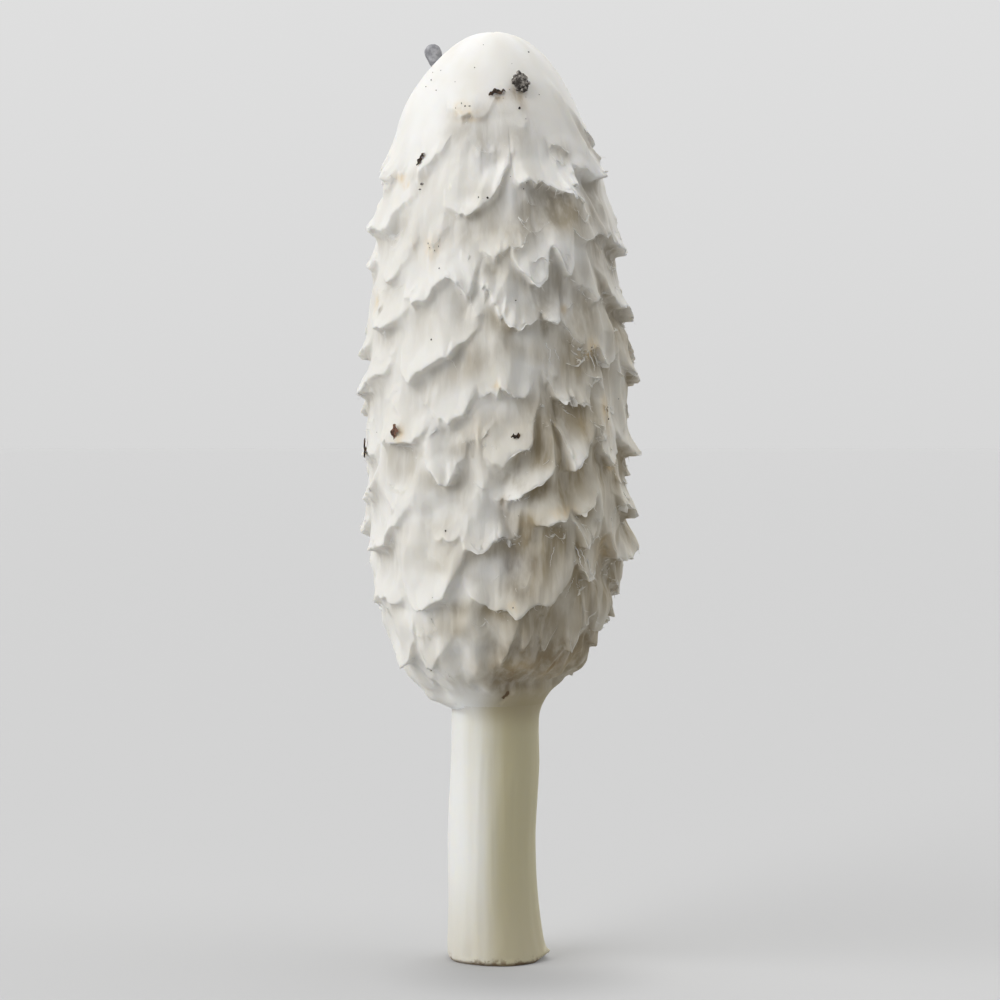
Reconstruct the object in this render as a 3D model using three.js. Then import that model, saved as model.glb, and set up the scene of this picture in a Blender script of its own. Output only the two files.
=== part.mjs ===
// A shaggy ink cap, picked and standing on the flat cut foot of its stem.
// Millimetres, +Z up. The origin is the centre of the cut foot, and the front faces -Y.
//
// The cap is a tall bullet of flesh whose skin has torn into rows of overlapping scales, with their tips
// lifted off the cap and a smooth bald crown above them. Its margin grips the stem, whose top end is held
// in a socket inside the cap. Crumbs of soil and shreds of leaf litter stick to the cap's skin.

import * as THREE from "three";

// Driving dimensions
const TOTAL_HEIGHT = 180;
const CAP_RADIUS = 24.9; // at its widest, under the scale tips
const MARGIN_HEIGHT = 50; // where the cap closes on the stem
const STEM_RADIUS = 8.5;
const FOOT_RADIUS = 10.1;
const FOOT_FLARE_HEIGHT = 9;
const SCALE_LIFT = 2.5; // how far an ordinary scale's tip stands off the cap

// Shape of the cap
const WIDEST_HEIGHT = 0.58 * TOTAL_HEIGHT;
const CROWN_ROUNDNESS = { power: 2.4, root: 2.1 };
const SHOULDER_ROUNDNESS = { power: 4, root: 1.3 };
const MARGIN_THICKNESS = 0.9;
const CROWN_DEPTH = 19; // the bald part, from the top down to the first scales
const FIT_GAP = 0.35; // between the stem and its socket, and under each crumb
const SOCKET_DEPTH = 16;

// Shape of the scales
const SCALE_ROWS = 11;
const TOP_LIP = 0.865 * TOTAL_HEIGHT;
const BOTTOM_LIP = 0.345 * TOTAL_HEIGHT;
const SCALE_WIDTH = 13.5;
const SCALE_DROP = 5; // how much lower a scale's tip hangs than its corners
const UNDERCUT = 1.6; // how far the hollow behind a lip reaches up

// Fineness of the facets
const CAP_SEGMENTS = 72;
const STEM_SEGMENTS = 36;
const FULL_TURN = 2 * Math.PI;

// The mushroom's slightly bowed centre line, from the foot to the crown.
const centreLine = new THREE.CatmullRomCurve3([
  new THREE.Vector3(0, 0, 0),
  new THREE.Vector3(-1.2, 0, 0.14 * TOTAL_HEIGHT),
  new THREE.Vector3(-1, 0, MARGIN_HEIGHT),
  new THREE.Vector3(0.2, 0, WIDEST_HEIGHT),
  new THREE.Vector3(-0.7, 0, TOTAL_HEIGHT),
]);
const centreSamples = centreLine.getPoints(90);

// The centre line's point at a height.
function centreAt(height) {
  const above = centreSamples.findIndex((point) => point.z >= height);
  if (above <= 0) return centreSamples[above === 0 ? 0 : centreSamples.length - 1];
  const low = centreSamples[above - 1];
  const high = centreSamples[above];
  return low.clone().lerp(high, (height - low.z) / (high.z - low.z));
}

// A share that falls from 1 to 0 as reach goes from 0 to 1, rounded like a superellipse.
function rounded(reach, { power, root }) {
  return (1 - Math.min(1, reach) ** power) ** (1 / root);
}

// Radius of the cap's flesh at a height, without the scales.
function capRadius(height) {
  if (height >= WIDEST_HEIGHT) {
    const reach = (height - WIDEST_HEIGHT) / (TOTAL_HEIGHT - WIDEST_HEIGHT);
    return CAP_RADIUS * rounded(reach, CROWN_ROUNDNESS);
  }
  const marginRadius = STEM_RADIUS + FIT_GAP + MARGIN_THICKNESS;
  const reach = (WIDEST_HEIGHT - height) / (WIDEST_HEIGHT - MARGIN_HEIGHT);
  return marginRadius + (CAP_RADIUS - marginRadius) * rounded(reach, SHOULDER_ROUNDNESS);
}

// A ring of points round the centre line, where place(angle) gives { radius, height }.
// Angle 0 is the front, and it grows towards +X.
function ring(segments, place) {
  return Array.from({ length: segments }, (_, i) => {
    const angle = (FULL_TURN * i) / segments;
    const { radius, height } = place(angle);
    const centre = centreAt(height);
    return new THREE.Vector3(
      centre.x + radius * Math.sin(angle),
      centre.y - radius * Math.cos(angle),
      height,
    );
  });
}

function roundRing(segments, radius, height) {
  return ring(segments, () => ({ radius, height }));
}

// A closed skin over rings listed so that the solid lies on their inner side going down, with a fan at
// each end.
function skin(rings) {
  const segments = rings[0].length;
  const points = rings.flat();
  const indices = [];
  const lastStart = points.length - segments;
  for (let start = 0; start < lastStart; start += segments)
    for (let i = 0; i < segments; i += 1) {
      const next = (i + 1) % segments;
      const [a, b, c, d] = [start + i, start + next, start + segments + next, start + segments + i];
      indices.push(a, d, c, a, c, b);
    }
  const middle = (members) =>
    members.reduce((sum, point) => sum.add(point), new THREE.Vector3()).divideScalar(segments);
  const first = points.push(middle(rings[0])) - 1;
  const last = points.push(middle(rings.at(-1))) - 1;
  for (let i = 0; i < segments; i += 1) {
    const next = (i + 1) % segments;
    indices.push(first, i, next, last, lastStart + next, lastStart + i);
  }
  return new THREE.BufferGeometry().setFromPoints(points).setIndex(indices);
}

// One row of scales: its height, and for each scale a turn of luck between 0 and 1.
THREE.MathUtils.seededRandom(11);
function scaleRow(row) {
  const height = THREE.MathUtils.lerp(TOP_LIP, BOTTOM_LIP, row / (SCALE_ROWS - 1));
  const count = Math.round((FULL_TURN * capRadius(height)) / SCALE_WIDTH);
  return {
    height,
    stagger: 0.5 * (row % 2),
    luck: Array.from({ length: count }, () => THREE.MathUtils.seededRandom()),
  };
}

// How far down its tongue a row's lip is at an angle: 0 between two scales, 1 at a tip. It also gives that
// scale's luck.
function tongue({ luck, stagger }, angle) {
  const along = (angle / FULL_TURN) * luck.length + stagger;
  const chance = luck[Math.floor(along) % luck.length];
  return { chance, share: Math.sin(Math.PI * (along % 1)) ** 0.7 };
}

// The three rings of a row: the swell above the lip, the lip's edge, and the hollow tucked behind it.
function scaleRings(row) {
  const lipHeight = ({ chance, share }) => row.height - SCALE_DROP * (0.5 + chance) * share;
  const lift = ({ chance, share }) => SCALE_LIFT * (0.55 + 0.9 * chance) * share;
  const swell = ring(CAP_SEGMENTS, (angle) => {
    const at = tongue(row, angle);
    const height = lipHeight(at) + 0.35 * (TOP_LIP - BOTTOM_LIP) / SCALE_ROWS;
    return { radius: capRadius(height) + 0.4 * lift(at) + 0.3, height };
  });
  const lip = ring(CAP_SEGMENTS, (angle) => {
    const at = tongue(row, angle);
    return { radius: capRadius(lipHeight(at)) + lift(at) + 0.3, height: lipHeight(at) };
  });
  const hollow = ring(CAP_SEGMENTS, (angle) => {
    const at = tongue(row, angle);
    const height = lipHeight(at) + UNDERCUT * at.share - 0.8 * (1 - at.share);
    return { radius: capRadius(height) + 0.1, height };
  });
  return [swell, lip, hollow];
}

function capGeometry() {
  const crown = [0.04, 0.2, 0.36, 0.52, 0.68, 0.84, 1].map((share) => {
    const height = TOTAL_HEIGHT - CROWN_DEPTH * share ** 2;
    return roundRing(CAP_SEGMENTS, capRadius(height), height);
  });
  const scales = Array.from({ length: SCALE_ROWS }, (_, row) => scaleRings(scaleRow(row))).flat();
  const shoulder = [53.5, 51.5, MARGIN_HEIGHT].map((height) =>
    roundRing(CAP_SEGMENTS, capRadius(height), height),
  );
  const socketRadius = STEM_RADIUS + FIT_GAP;
  const socket = [MARGIN_HEIGHT, MARGIN_HEIGHT + SOCKET_DEPTH].map((height) =>
    roundRing(CAP_SEGMENTS, socketRadius, height),
  );
  return skin([...crown, ...scales, ...shoulder, ...socket]);
}

// Radius of the stem at a height: it flares at the foot.
function stemRadius(height) {
  return STEM_RADIUS + (FOOT_RADIUS - STEM_RADIUS) * Math.exp(-height / FOOT_FLARE_HEIGHT);
}

function stemGeometry() {
  const top = MARGIN_HEIGHT + SOCKET_DEPTH - FIT_GAP;
  const heights = [top, MARGIN_HEIGHT, 43, 36, 29, 22, 16, 11, 7, 4, 2, 0.8, 0];
  return skin(heights.map((height) => roundRing(STEM_SEGMENTS, stemRadius(height), height)));
}

function named(name, geometry, material) {
  const mesh = new THREE.Mesh(geometry, material);
  mesh.name = name;
  return mesh;
}

const capFlesh = new THREE.MeshStandardMaterial({ color: 0xe6e3dc, roughness: 0.75, metalness: 0 });
const stemFlesh = new THREE.MeshStandardMaterial({ color: 0xd8d5c4, roughness: 0.55, metalness: 0 });
const darkSoil = new THREE.MeshStandardMaterial({ color: 0x4a4038, roughness: 0.95, metalness: 0 });
const greyGrit = new THREE.MeshStandardMaterial({ color: 0x8b8b8d, roughness: 0.8, metalness: 0 });
const brownLitter = new THREE.MeshStandardMaterial({ color: 0x5d4a3c, roughness: 0.9, metalness: 0 });

const cap = named("cap", capGeometry(), capFlesh);
const stem = named("stem", stemGeometry(), stemFlesh);

// A crumb stuck to the cap's skin at an angle and height. Its size is [across, up the cap, out from it].
function crumb(name, { angle, height, size, roll = 0 }, material) {
  const turn = THREE.MathUtils.degToRad(angle);
  const outward = new THREE.Vector3(Math.sin(turn), -Math.cos(turn), 0);
  const centre = centreAt(height);
  const from = centre.clone().addScaledVector(outward, 2 * CAP_RADIUS);
  const [hit] = new THREE.Raycaster(from, outward.clone().negate()).intersectObject(cap);
  const mesh = named(name, new THREE.IcosahedronGeometry(0.5, 1), material);
  mesh.scale.set(size[0], size[1], size[2]);
  const frame = new THREE.Matrix4().lookAt(hit.face.normal, new THREE.Vector3(), new THREE.Vector3(0, 0, 1));
  mesh.quaternion.setFromRotationMatrix(frame);
  mesh.rotateZ(THREE.MathUtils.degToRad(roll));
  mesh.position.copy(hit.point).addScaledVector(hit.face.normal, size[2] / 2 + FIT_GAP);
  return mesh;
}

const mushroom = new THREE.Group();
mushroom.add(cap, stem);
cap.geometry.computeVertexNormals();
mushroom.add(
  crumb("soil_crumb", { angle: 19, height: 168.1, size: [3.7, 4.6, 2.6] }, darkSoil),
  crumb("grit_grain", { angle: -88, height: 174.5, size: [3.8, 3.6, 3.2] }, greyGrit),
);

const litter = [
  { angle: 2, height: 166.3, size: [3.2, 1.2, 0.8], roll: -10 },
  { angle: -41, height: 153.6, size: [1.2, 2.8, 0.7], roll: -25 },
  { angle: -46.5, height: 102, size: [1.4, 3.4, 0.8], roll: -25 },
  { angle: -80, height: 99.5, size: [1.4, 3, 0.8], roll: 10 },
  { angle: 6.5, height: 102, size: [2, 1, 0.7], roll: 10 },
];
litter.forEach((shred, i) => mushroom.add(crumb(`leaf_shred_${i + 1}`, shred, brownLitter)));

export default mushroom;
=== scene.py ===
import math

import bmesh
import bpy
import numpy as np
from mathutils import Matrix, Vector
from mathutils import noise as noise_tools
from mathutils.bvhtree import BVHTree


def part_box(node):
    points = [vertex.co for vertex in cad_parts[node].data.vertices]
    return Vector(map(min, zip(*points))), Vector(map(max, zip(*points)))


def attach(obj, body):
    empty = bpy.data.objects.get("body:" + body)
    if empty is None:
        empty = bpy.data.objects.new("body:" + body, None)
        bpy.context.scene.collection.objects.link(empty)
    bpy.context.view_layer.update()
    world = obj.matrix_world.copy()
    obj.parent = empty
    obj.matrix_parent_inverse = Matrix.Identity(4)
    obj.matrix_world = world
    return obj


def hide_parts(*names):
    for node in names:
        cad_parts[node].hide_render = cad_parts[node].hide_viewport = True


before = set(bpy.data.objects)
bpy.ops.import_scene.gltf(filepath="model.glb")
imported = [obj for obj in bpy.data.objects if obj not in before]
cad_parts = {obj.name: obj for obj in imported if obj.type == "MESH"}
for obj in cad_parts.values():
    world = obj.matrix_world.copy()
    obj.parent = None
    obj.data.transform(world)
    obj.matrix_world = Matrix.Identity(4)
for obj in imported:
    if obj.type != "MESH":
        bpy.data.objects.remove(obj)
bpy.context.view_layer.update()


# ---- The camera -------------------------------------------------------------------------------------------
# A long lens at a little over half the mushroom's height looks at it from the front, tipped down by about
# a degree, so that the whole thing fills the upright of the frame.
MM = 0.001
LENS, SENSOR_WIDTH = 100, 36
VIEWPOINT = (0.6, -540.6, 100.7)
TIPPED_DOWN = 1.2
camera = bpy.data.cameras.new("camera")
camera.lens = LENS
camera.sensor_width = SENSOR_WIDTH
viewpoint = bpy.data.objects.new("camera", camera)
viewpoint.location = Vector(VIEWPOINT) * MM
viewpoint.rotation_euler = (math.radians(90 - TIPPED_DOWN), 0, 0)
bpy.context.scene.collection.objects.link(viewpoint)
bpy.context.scene.camera = viewpoint


# ---- The stem ---------------------------------------------------------------------------------------------
# A smooth, slightly bowed stalk of white flesh, silky along its length and cut off flat at the foot, where
# it widens. The cut's rim is a little torn and has picked up soil.
stem_corner = np.array(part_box("stem")[1]) / MM
cap_low_corner, cap_high_corner = (np.array(corner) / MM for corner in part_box("cap"))
FOOT_RADIUS = stem_corner[0]
STEM_TOP = stem_corner[2]
STEM_RADIUS = 8.5
FOOT_FLARE_HEIGHT = 9
JOIN_BEND = 0.75
JOIN_START = 46.5
JOIN_STEEPNESS = 0.1
JOIN_INSIDE = 0.6
CAP_TOP = cap_high_corner[2]
MARGIN_HEIGHT = cap_low_corner[2]
FOOT_TUCK, NICK_DEPTH = 0.22, 0.2
UNDERCUT_DEPTH, UNDERCUT_HEIGHT = 0.6, 0.9
CURL_ANGLE, CURL_SPREAD, CURL_HEIGHT = 80, 0.3, 1.7
CURL_OUT, CURL_UP = 0.75, 1.3
LEAN_HEIGHTS = (0, 0.14 * CAP_TOP, MARGIN_HEIGHT, 0.58 * CAP_TOP, CAP_TOP)
LEAN_OFFSETS = (0, -1.2, -1.0, 0.2, -0.7)
lean_curve = np.polyfit(LEAN_HEIGHTS, LEAN_OFFSETS, 4)


def lean(height):
    """How far to the side the mushroom's bowed middle is at a height."""
    return np.polyval(lean_curve, height)


def stem_radius(height):
    """Radius of the stem at a height: it flares at the foot."""
    return STEM_RADIUS + (FOOT_RADIUS - STEM_RADIUS) * np.exp(-height / FOOT_FLARE_HEIGHT)


def smooth_step(values):
    """0 up to 0, 1 from 1 on, and a smooth rise between."""
    held = np.clip(values, 0, 1)
    return held * held * (3 - 2 * held)


def join_bend(height):
    """How far the top of the stem and the cap's underside lie to the right of the centre line."""
    return JOIN_BEND * smooth_step((height - 22) / 22) * smooth_step((MARGIN_HEIGHT + 6 - height) / 4)


def margin_flow(turn):
    """1 on the front and the right, where the stem spreads smoothly into the cap, and 0 on the left."""
    return smooth_step(0.95 + 1.3 * np.cos(turn - math.radians(52)))


def join_out(turn, height):
    """Radius of the skin that the stem and the cap share where they flow into each other."""
    spread = JOIN_STEEPNESS * (1 - 0.33 * np.clip(np.sin(turn), 0, 1) ** 2)
    return stem_radius(height) + margin_flow(turn) * spread * np.clip(height - JOIN_START, 0, None) ** 2


def spline_weights(places, count, wraps):
    """Cubic B-spline weights that spread count knots smoothly over places, given in knots."""
    first = np.floor(places).astype(int)
    part = places - first
    weights = np.zeros((len(places), count))
    shares = (
        (1 - part) ** 3 / 6,
        (3 * part**3 - 6 * part**2 + 4) / 6,
        (-3 * part**3 + 3 * part**2 + 3 * part + 1) / 6,
        part**3 / 6,
    )
    for step, share in enumerate(shares):
        knots = first + step - 1
        knots = knots % count if wraps else np.clip(knots, 0, count - 1)
        np.add.at(weights, (np.arange(len(places)), knots), share)
    return weights


def grain(seed, across, along, width, length, shape):
    """Smooth random relief of about unit strength on a grid of rows down and columns round the mushroom.
    Its lumps are across mm wide and along mm long."""
    rows, columns = shape
    knots_round = max(4, round(width / across))
    knots_down = max(4, round(length / along) + 3)
    lattice = np.random.default_rng(seed).normal(size=(knots_down, knots_round))
    down = spline_weights(np.linspace(1, knots_down - 2, rows), knots_down, False)
    round_ = spline_weights(np.arange(columns) * knots_round / columns, knots_round, True)
    return down @ lattice @ round_.T * 1.9


def skin_object(name, points, faces, shades):
    """A smooth object of shared points in mm and three-sided or four-sided faces, with a value of each shade
    at each point."""
    mesh = bpy.data.meshes.new(name)
    mesh.vertices.add(len(points))
    mesh.vertices.foreach_set("co", (points * MM).astype(np.float32).ravel())
    corners = np.concatenate([face.ravel() for face in faces])
    sides = np.concatenate([np.full(len(face), face.shape[1]) for face in faces])
    mesh.loops.add(len(corners))
    mesh.loops.foreach_set("vertex_index", corners.astype(np.int32))
    mesh.polygons.add(len(sides))
    mesh.polygons.foreach_set("loop_start", (np.cumsum(sides) - sides).astype(np.int32))
    mesh.polygons.foreach_set("use_smooth", np.ones(len(sides), bool))
    mesh.update(calc_edges=True)
    for shade, values in shades.items():
        layer = mesh.attributes.new(shade, "FLOAT", "POINT")
        layer.data.foreach_set("value", np.asarray(values, np.float32).ravel())
    made = bpy.data.objects.new(name, mesh)
    bpy.context.scene.collection.objects.link(made)
    return made


def wrapped_faces(rows, columns):
    """Four-sided faces of a grid that goes down in rows and closes round in columns, facing out."""
    above = np.arange(rows - 1)[:, None] * columns + np.arange(columns)[None]
    beside = np.arange(rows - 1)[:, None] * columns + (np.arange(columns)[None] + 1) % columns
    return np.stack([above, above + columns, beside + columns, beside], -1).reshape(-1, 4)


def end_fan(ring_start, columns, middle, faces_down):
    """Three-sided faces from one ring of the grid to a middle point."""
    here = ring_start + np.arange(columns)
    beside = ring_start + (np.arange(columns) + 1) % columns
    centre = np.full(columns, middle)
    order = (centre, beside, here) if faces_down else (centre, here, beside)
    return np.stack(order, -1)


stem_columns = 180
stem_heights = np.concatenate([np.arange(STEM_TOP, 1.2, -0.35), np.linspace(1.2, 0, 7)])
stem_angles = np.arange(stem_columns) * 2 * math.pi / stem_columns
stem_shape = (len(stem_heights), stem_columns)
stem_round = 2 * math.pi * STEM_RADIUS
stem_silk, stem_fine_silk, stem_lumps, rim_nicks = (
    grain(seed, across, along, stem_round, STEM_TOP, stem_shape)
    for seed, across, along in ((21, 0.9, 14), (22, 0.5, 6), (23, 7, 11), (24, 1.7, 2))
)
near_foot = np.exp(-stem_heights / 2.2)[:, None]
hold_in_cap = np.clip((MARGIN_HEIGHT - 5.5 - stem_heights) / 6, 0, 1)[:, None]
stem_out = stem_radius(stem_heights)[:, None] + hold_in_cap * (
    0.05 * stem_silk + 0.02 * stem_fine_silk + 0.13 * stem_lumps
)
stem_out = stem_out - near_foot * (FOOT_TUCK + NICK_DEPTH * np.maximum(rim_nicks, -0.4))
stem_out = stem_out - UNDERCUT_DEPTH * np.clip(1 - stem_heights / UNDERCUT_HEIGHT, 0, 1)[:, None] ** 2
# on the right the cut edge curls up and out
curled = np.exp(-(((stem_angles - math.radians(CURL_ANGLE)) / CURL_SPREAD) ** 2))
curled = curled * np.exp(-((stem_heights / CURL_HEIGHT) ** 2))[:, None]
stem_out = stem_out + CURL_OUT * curled
# under the cap it bends a little to the right, and there it spreads to meet the cap's underside
joined = join_out(stem_angles[None], stem_heights[:, None]) - stem_radius(stem_heights)[:, None]
joined -= 0.03 * (stem_heights > MARGIN_HEIGHT)[:, None]
stem_out = stem_out + joined * (stem_heights < MARGIN_HEIGHT + JOIN_INSIDE)[:, None]
stem_x = (lean(stem_heights) + join_bend(stem_heights))[:, None] + stem_out * np.sin(stem_angles)
stem_y = -stem_out * np.cos(stem_angles)
stem_z = stem_heights[:, None] + CURL_UP * curled
stem_points = np.stack([stem_x, stem_y, stem_z], -1).reshape(-1, 3)
stem_middles = np.array([[lean(STEM_TOP), 0, STEM_TOP], [0, 0, 0]])
stem_ring_starts = (0, (len(stem_heights) - 1) * stem_columns)
stem_faces = [
    wrapped_faces(*stem_shape),
    end_fan(stem_ring_starts[0], stem_columns, len(stem_points), False),
    end_fan(stem_ring_starts[1], stem_columns, len(stem_points) + 1, True),
]
stem = skin_object("stem_flesh", np.concatenate([stem_points, stem_middles]), stem_faces, {})


class Finish:
    """A finish put together from nodes. Wherever it takes a value, that may be a socket or a plain value."""

    def __init__(self, owner, coordinate="Object"):
        owner.use_nodes = True
        self.owner = owner
        self.nodes, self.links = owner.node_tree.nodes, owner.node_tree.links
        self.shader = self.nodes.get("Principled BSDF")
        self.place = self.nodes.new("ShaderNodeTexCoord").outputs[coordinate]
        split = self.nodes.new("ShaderNodeSeparateXYZ")
        self.links.new(self.place, split.inputs["Vector"])
        self.x, self.z = split.outputs["X"], split.outputs["Z"]

    def give(self, socket, value):
        """Sets a socket to a plain value, or links another socket to it."""
        if isinstance(value, bpy.types.NodeSocket):
            self.links.new(value, socket)
        else:
            socket.default_value = value

    def set_shader(self, levels):
        """Gives the main shader's named sockets their values."""
        for socket, value in levels.items():
            self.give(self.shader.inputs[socket], value)

    def noise(self, scale, detail=3, roughness=0.55, stretch=(1, 1, 1)):
        """A noise in the mushroom's own metres. A small stretch along z draws it out into fibres."""
        mapping = self.nodes.new("ShaderNodeMapping")
        mapping.inputs["Scale"].default_value = stretch
        texture = self.nodes.new("ShaderNodeTexNoise")
        for socket, number in (("Scale", scale), ("Detail", detail), ("Roughness", roughness)):
            texture.inputs[socket].default_value = number
        self.links.new(self.place, mapping.inputs["Vector"])
        self.links.new(mapping.outputs["Vector"], texture.inputs["Vector"])
        return texture.outputs["Fac"]

    def between(self, value, low, high, to_low=0.0, to_high=1.0, way="SMOOTHSTEP"):
        """value's stretch from low to high, spread over to_low to to_high and held beyond it."""
        spread = self.nodes.new("ShaderNodeMapRange")
        spread.interpolation_type = way
        ends = {"From Min": low, "From Max": high, "To Min": to_low, "To Max": to_high}
        for socket, number in ends.items():
            spread.inputs[socket].default_value = number
        self.links.new(value, spread.inputs["Value"])
        return spread.outputs["Result"]

    def blended(self, share, first, second):
        """Two colours mixed by a share."""
        mix = self.nodes.new("ShaderNodeMix")
        mix.data_type = "RGBA"
        for socket, value in ((0, share), (6, first), (7, second)):
            self.give(mix.inputs[socket], value)
        return mix.outputs[2]

    def coat(self, share, colour):
        """Lays a colour over the finish's own colour by a share."""
        self.colour = self.blended(share, self.colour, colour)

    def maths(self, first, way, second):
        """Two numbers put together."""
        sum_node = self.nodes.new("ShaderNodeMath")
        sum_node.operation = way
        self.give(sum_node.inputs[0], first)
        self.give(sum_node.inputs[1], second)
        return sum_node.outputs[0]

    def plus(self, first, second):
        """Their sum."""
        return self.maths(first, "ADD", second)

    def times(self, first, second):
        """Their product."""
        return self.maths(first, "MULTIPLY", second)

    def relief(self, layers):
        """Bumps laid over each other on the main shader, each given as (height, depth in metres)."""
        normal = None
        for height, depth in layers:
            bump = self.nodes.new("ShaderNodeBump")
            bump.inputs["Strength"].default_value = 1
            bump.inputs["Distance"].default_value = depth
            self.links.new(height, bump.inputs["Height"])
            if normal is not None:
                self.links.new(normal, bump.inputs["Normal"])
            normal = bump.outputs["Normal"]
        self.links.new(normal, self.shader.inputs["Normal"])


def linear(red, green, blue):
    """A colour as it looks on a screen, out of 255, as the amounts of light that the shader takes."""
    return tuple((level / 255) ** 2.2 for level in (red, green, blue)) + (1,)


FRESH_STEM = linear(235, 235, 231)
CREAM_STEM = linear(200, 192, 158)
DEEP_CREAM = linear(198, 189, 164)
SOIL_STAIN_AND_SHADE = linear(112, 88, 60)
MARGIN_BROWN_AND_SHADE = linear(168, 154, 122)
# from where to where along x, in metres, painted shade turns the flesh creamy towards the shaded right side,
# and the margin's brown, deepened by painted shade under the cap, sets in
CREAM_SHADE_SPAN = (-0.0042, 0.0055)
TURNS_BROWN_AND_SHADE = (-0.0065, 0.002)
flesh = Finish(bpy.data.materials.new("silky_stem_flesh"))
silk = flesh.noise(900, 3, 0.6, (1, 1, 0.06))
broad_silk = flesh.noise(240, 3, 0.5, (1, 1, 0.08))
clouds = flesh.noise(70, 3, 0.5, (1, 1, 0.4))
# painted shade: it is whiter on the lit left side, and creamier and darker towards the shaded right side
across = flesh.plus(flesh.x, flesh.times(broad_silk, 0.006))
flesh.colour = flesh.blended(flesh.between(across, *CREAM_SHADE_SPAN), FRESH_STEM, CREAM_STEM)
flesh.coat(flesh.between(clouds, 0.48, 0.75, 0, 0.22), CREAM_STEM)
# towards the foot it deepens, and the cut's rim is spotted with soil; a thin dark band at the very bottom is
# a painted contact shadow
flesh.coat(flesh.between(flesh.z, 0, 0.022, 0.5, 0), DEEP_CREAM)
soil_spots = flesh.between(flesh.noise(700, 4, 0.65), 0.5, 0.62)
flesh.coat(flesh.times(soil_spots, flesh.between(flesh.z, 0.0002, 0.002, 0.8, 0)), SOIL_STAIN_AND_SHADE)
# painted contact shadow: a thin dark band round the very bottom of the foot
flesh.coat(flesh.between(flesh.z, 0.00025, 0.0008, 0.7, 0), SOIL_STAIN_AND_SHADE)
# under the cap's right side it takes on the brown of the margin, deepened by painted shade from the cap above
under_cap_shade = flesh.between(flesh.z, (MARGIN_HEIGHT - 6) * MM, (MARGIN_HEIGHT + JOIN_INSIDE) * MM, 0, 0.75)
flesh.coat(flesh.times(under_cap_shade, flesh.between(flesh.x, *TURNS_BROWN_AND_SHADE)), MARGIN_BROWN_AND_SHADE)
# and on the left a crease runs between the two, drawn as a dark line of painted shade
left_side = flesh.between(flesh.x, -0.0115, -0.004, 0.75, 0)
crease_height = flesh.plus(flesh.z, flesh.times(broad_silk, 0.0008))
crease = flesh.between(crease_height, (MARGIN_HEIGHT - 1.7) * MM, (MARGIN_HEIGHT - 0.6) * MM)
flesh.coat(flesh.times(crease, left_side), SOIL_STAIN_AND_SHADE)
flesh.set_shader({
    "Base Color": flesh.colour,
    "Roughness": flesh.between(silk, 0.3, 0.7, 0.5, 0.62),
    "Specular IOR Level": 0.4,
    "Subsurface Weight": 0.35,
    "Subsurface Radius": (1.0, 0.85, 0.55),
    "Subsurface Scale": 1.6 * MM,
})
flesh.relief([(broad_silk, 0.00006), (silk, 0.00003)])
stem.data.materials.append(flesh.owner)
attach(stem, "root")
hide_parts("stem")


# ---- The cap ----------------------------------------------------------------------------------------------
# One bullet of soft flesh grips the stem by its margin. As it grew, its white skin stayed whole over the
# crown and tore lower down into overlapping scales, whose ragged tips lift and curl away from the cap.
CAP_RADIUS = 24.9
WIDEST_HEIGHT = 0.58 * CAP_TOP
CROWN_POWER, CROWN_ROOT = 2.4, 2.1
SHOULDER_POWER, SHOULDER_ROOT = 4, 1.1
MARGIN_THICKNESS = 1.25
SOCKET_CLEARANCE = 0.3
GRID_STEP = 0.15
CAP_TRIANGLES = 195000


def cap_radius(height):
    """Radius of the cap's flesh at a height, without the scales."""
    crown_reach = np.clip((height - WIDEST_HEIGHT) / (CAP_TOP - WIDEST_HEIGHT), 0, 1)
    crown = CAP_RADIUS * (1 - crown_reach**CROWN_POWER) ** (1 / CROWN_ROOT)
    margin_radius = STEM_RADIUS + MARGIN_THICKNESS
    shoulder_reach = np.clip((WIDEST_HEIGHT - height) / (WIDEST_HEIGHT - MARGIN_HEIGHT), 0, 1)
    shoulder = (1 - shoulder_reach**SHOULDER_POWER) ** (1 / SHOULDER_ROOT)
    return np.where(height >= WIDEST_HEIGHT, crown, margin_radius + (CAP_RADIUS - margin_radius) * shoulder)


# The way down the cap's side from the crown's top to the margin, in even steps.
fine_heights = CAP_TOP - (CAP_TOP - MARGIN_HEIGHT) * np.linspace(0, 1, 6000) ** 2
fine_radii = cap_radius(fine_heights)
fine_way = np.concatenate([[0], np.cumsum(np.hypot(np.diff(fine_heights), np.diff(fine_radii)))])
WAY_LENGTH = fine_way[-1]
way = np.arange(0.12, WAY_LENGTH, GRID_STEP)
side_heights = np.interp(way, fine_way, fine_heights)
side_radii = np.interp(way, fine_way, fine_radii)
cap_columns = round(2 * math.pi * CAP_RADIUS / GRID_STEP)
angles = np.arange(cap_columns) * 360 / cap_columns - 180
cap_shape = (len(way), cap_columns)
cap_round = 2 * math.pi * CAP_RADIUS


def way_at(height):
    """How far down the cap's side a height is."""
    return np.interp(-height, -fine_heights, fine_way)


def cap_grain(seed, across, along, shape=cap_shape):
    """Grain over the cap's side, with lumps across mm wide and along mm long."""
    return grain(seed, across, along, cap_round, WAY_LENGTH, shape)


def wrapped(turns):
    """Angles brought back to between -180 and 180."""
    return (turns + 180) % 360 - 180


lift = np.zeros(cap_shape)
hollow = np.zeros(cap_shape)
OVERHANG = 0.5
FRAY_LINES = 24
DRY_ANGLE = 52
TIP_POINT, TIP_REACH = 0.42, 2.4
PINCH_DEPTH = 0.06
FLARE_REACH = 2.6
HOLLOW_DEPTH, MORE_WHERE_DRY = 0.7, 0.5
EDGE_ROUNDING = 0.9
DOME_POWER, DOME_ROOT = 2.4, 0.8
FLATTER_IN_FRONT = 0.3
CORNER_LIFT, MORE_AT_TIP = 0.38, 0.5
UNEVENNESS = 0.16
COARSE_TEARS, FINE_TEARS, JAGGED_TEARS = 0.35, 0.2, 0.4
NEAR_EDGE, BY_EDGE = 1.6, 2.5
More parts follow.
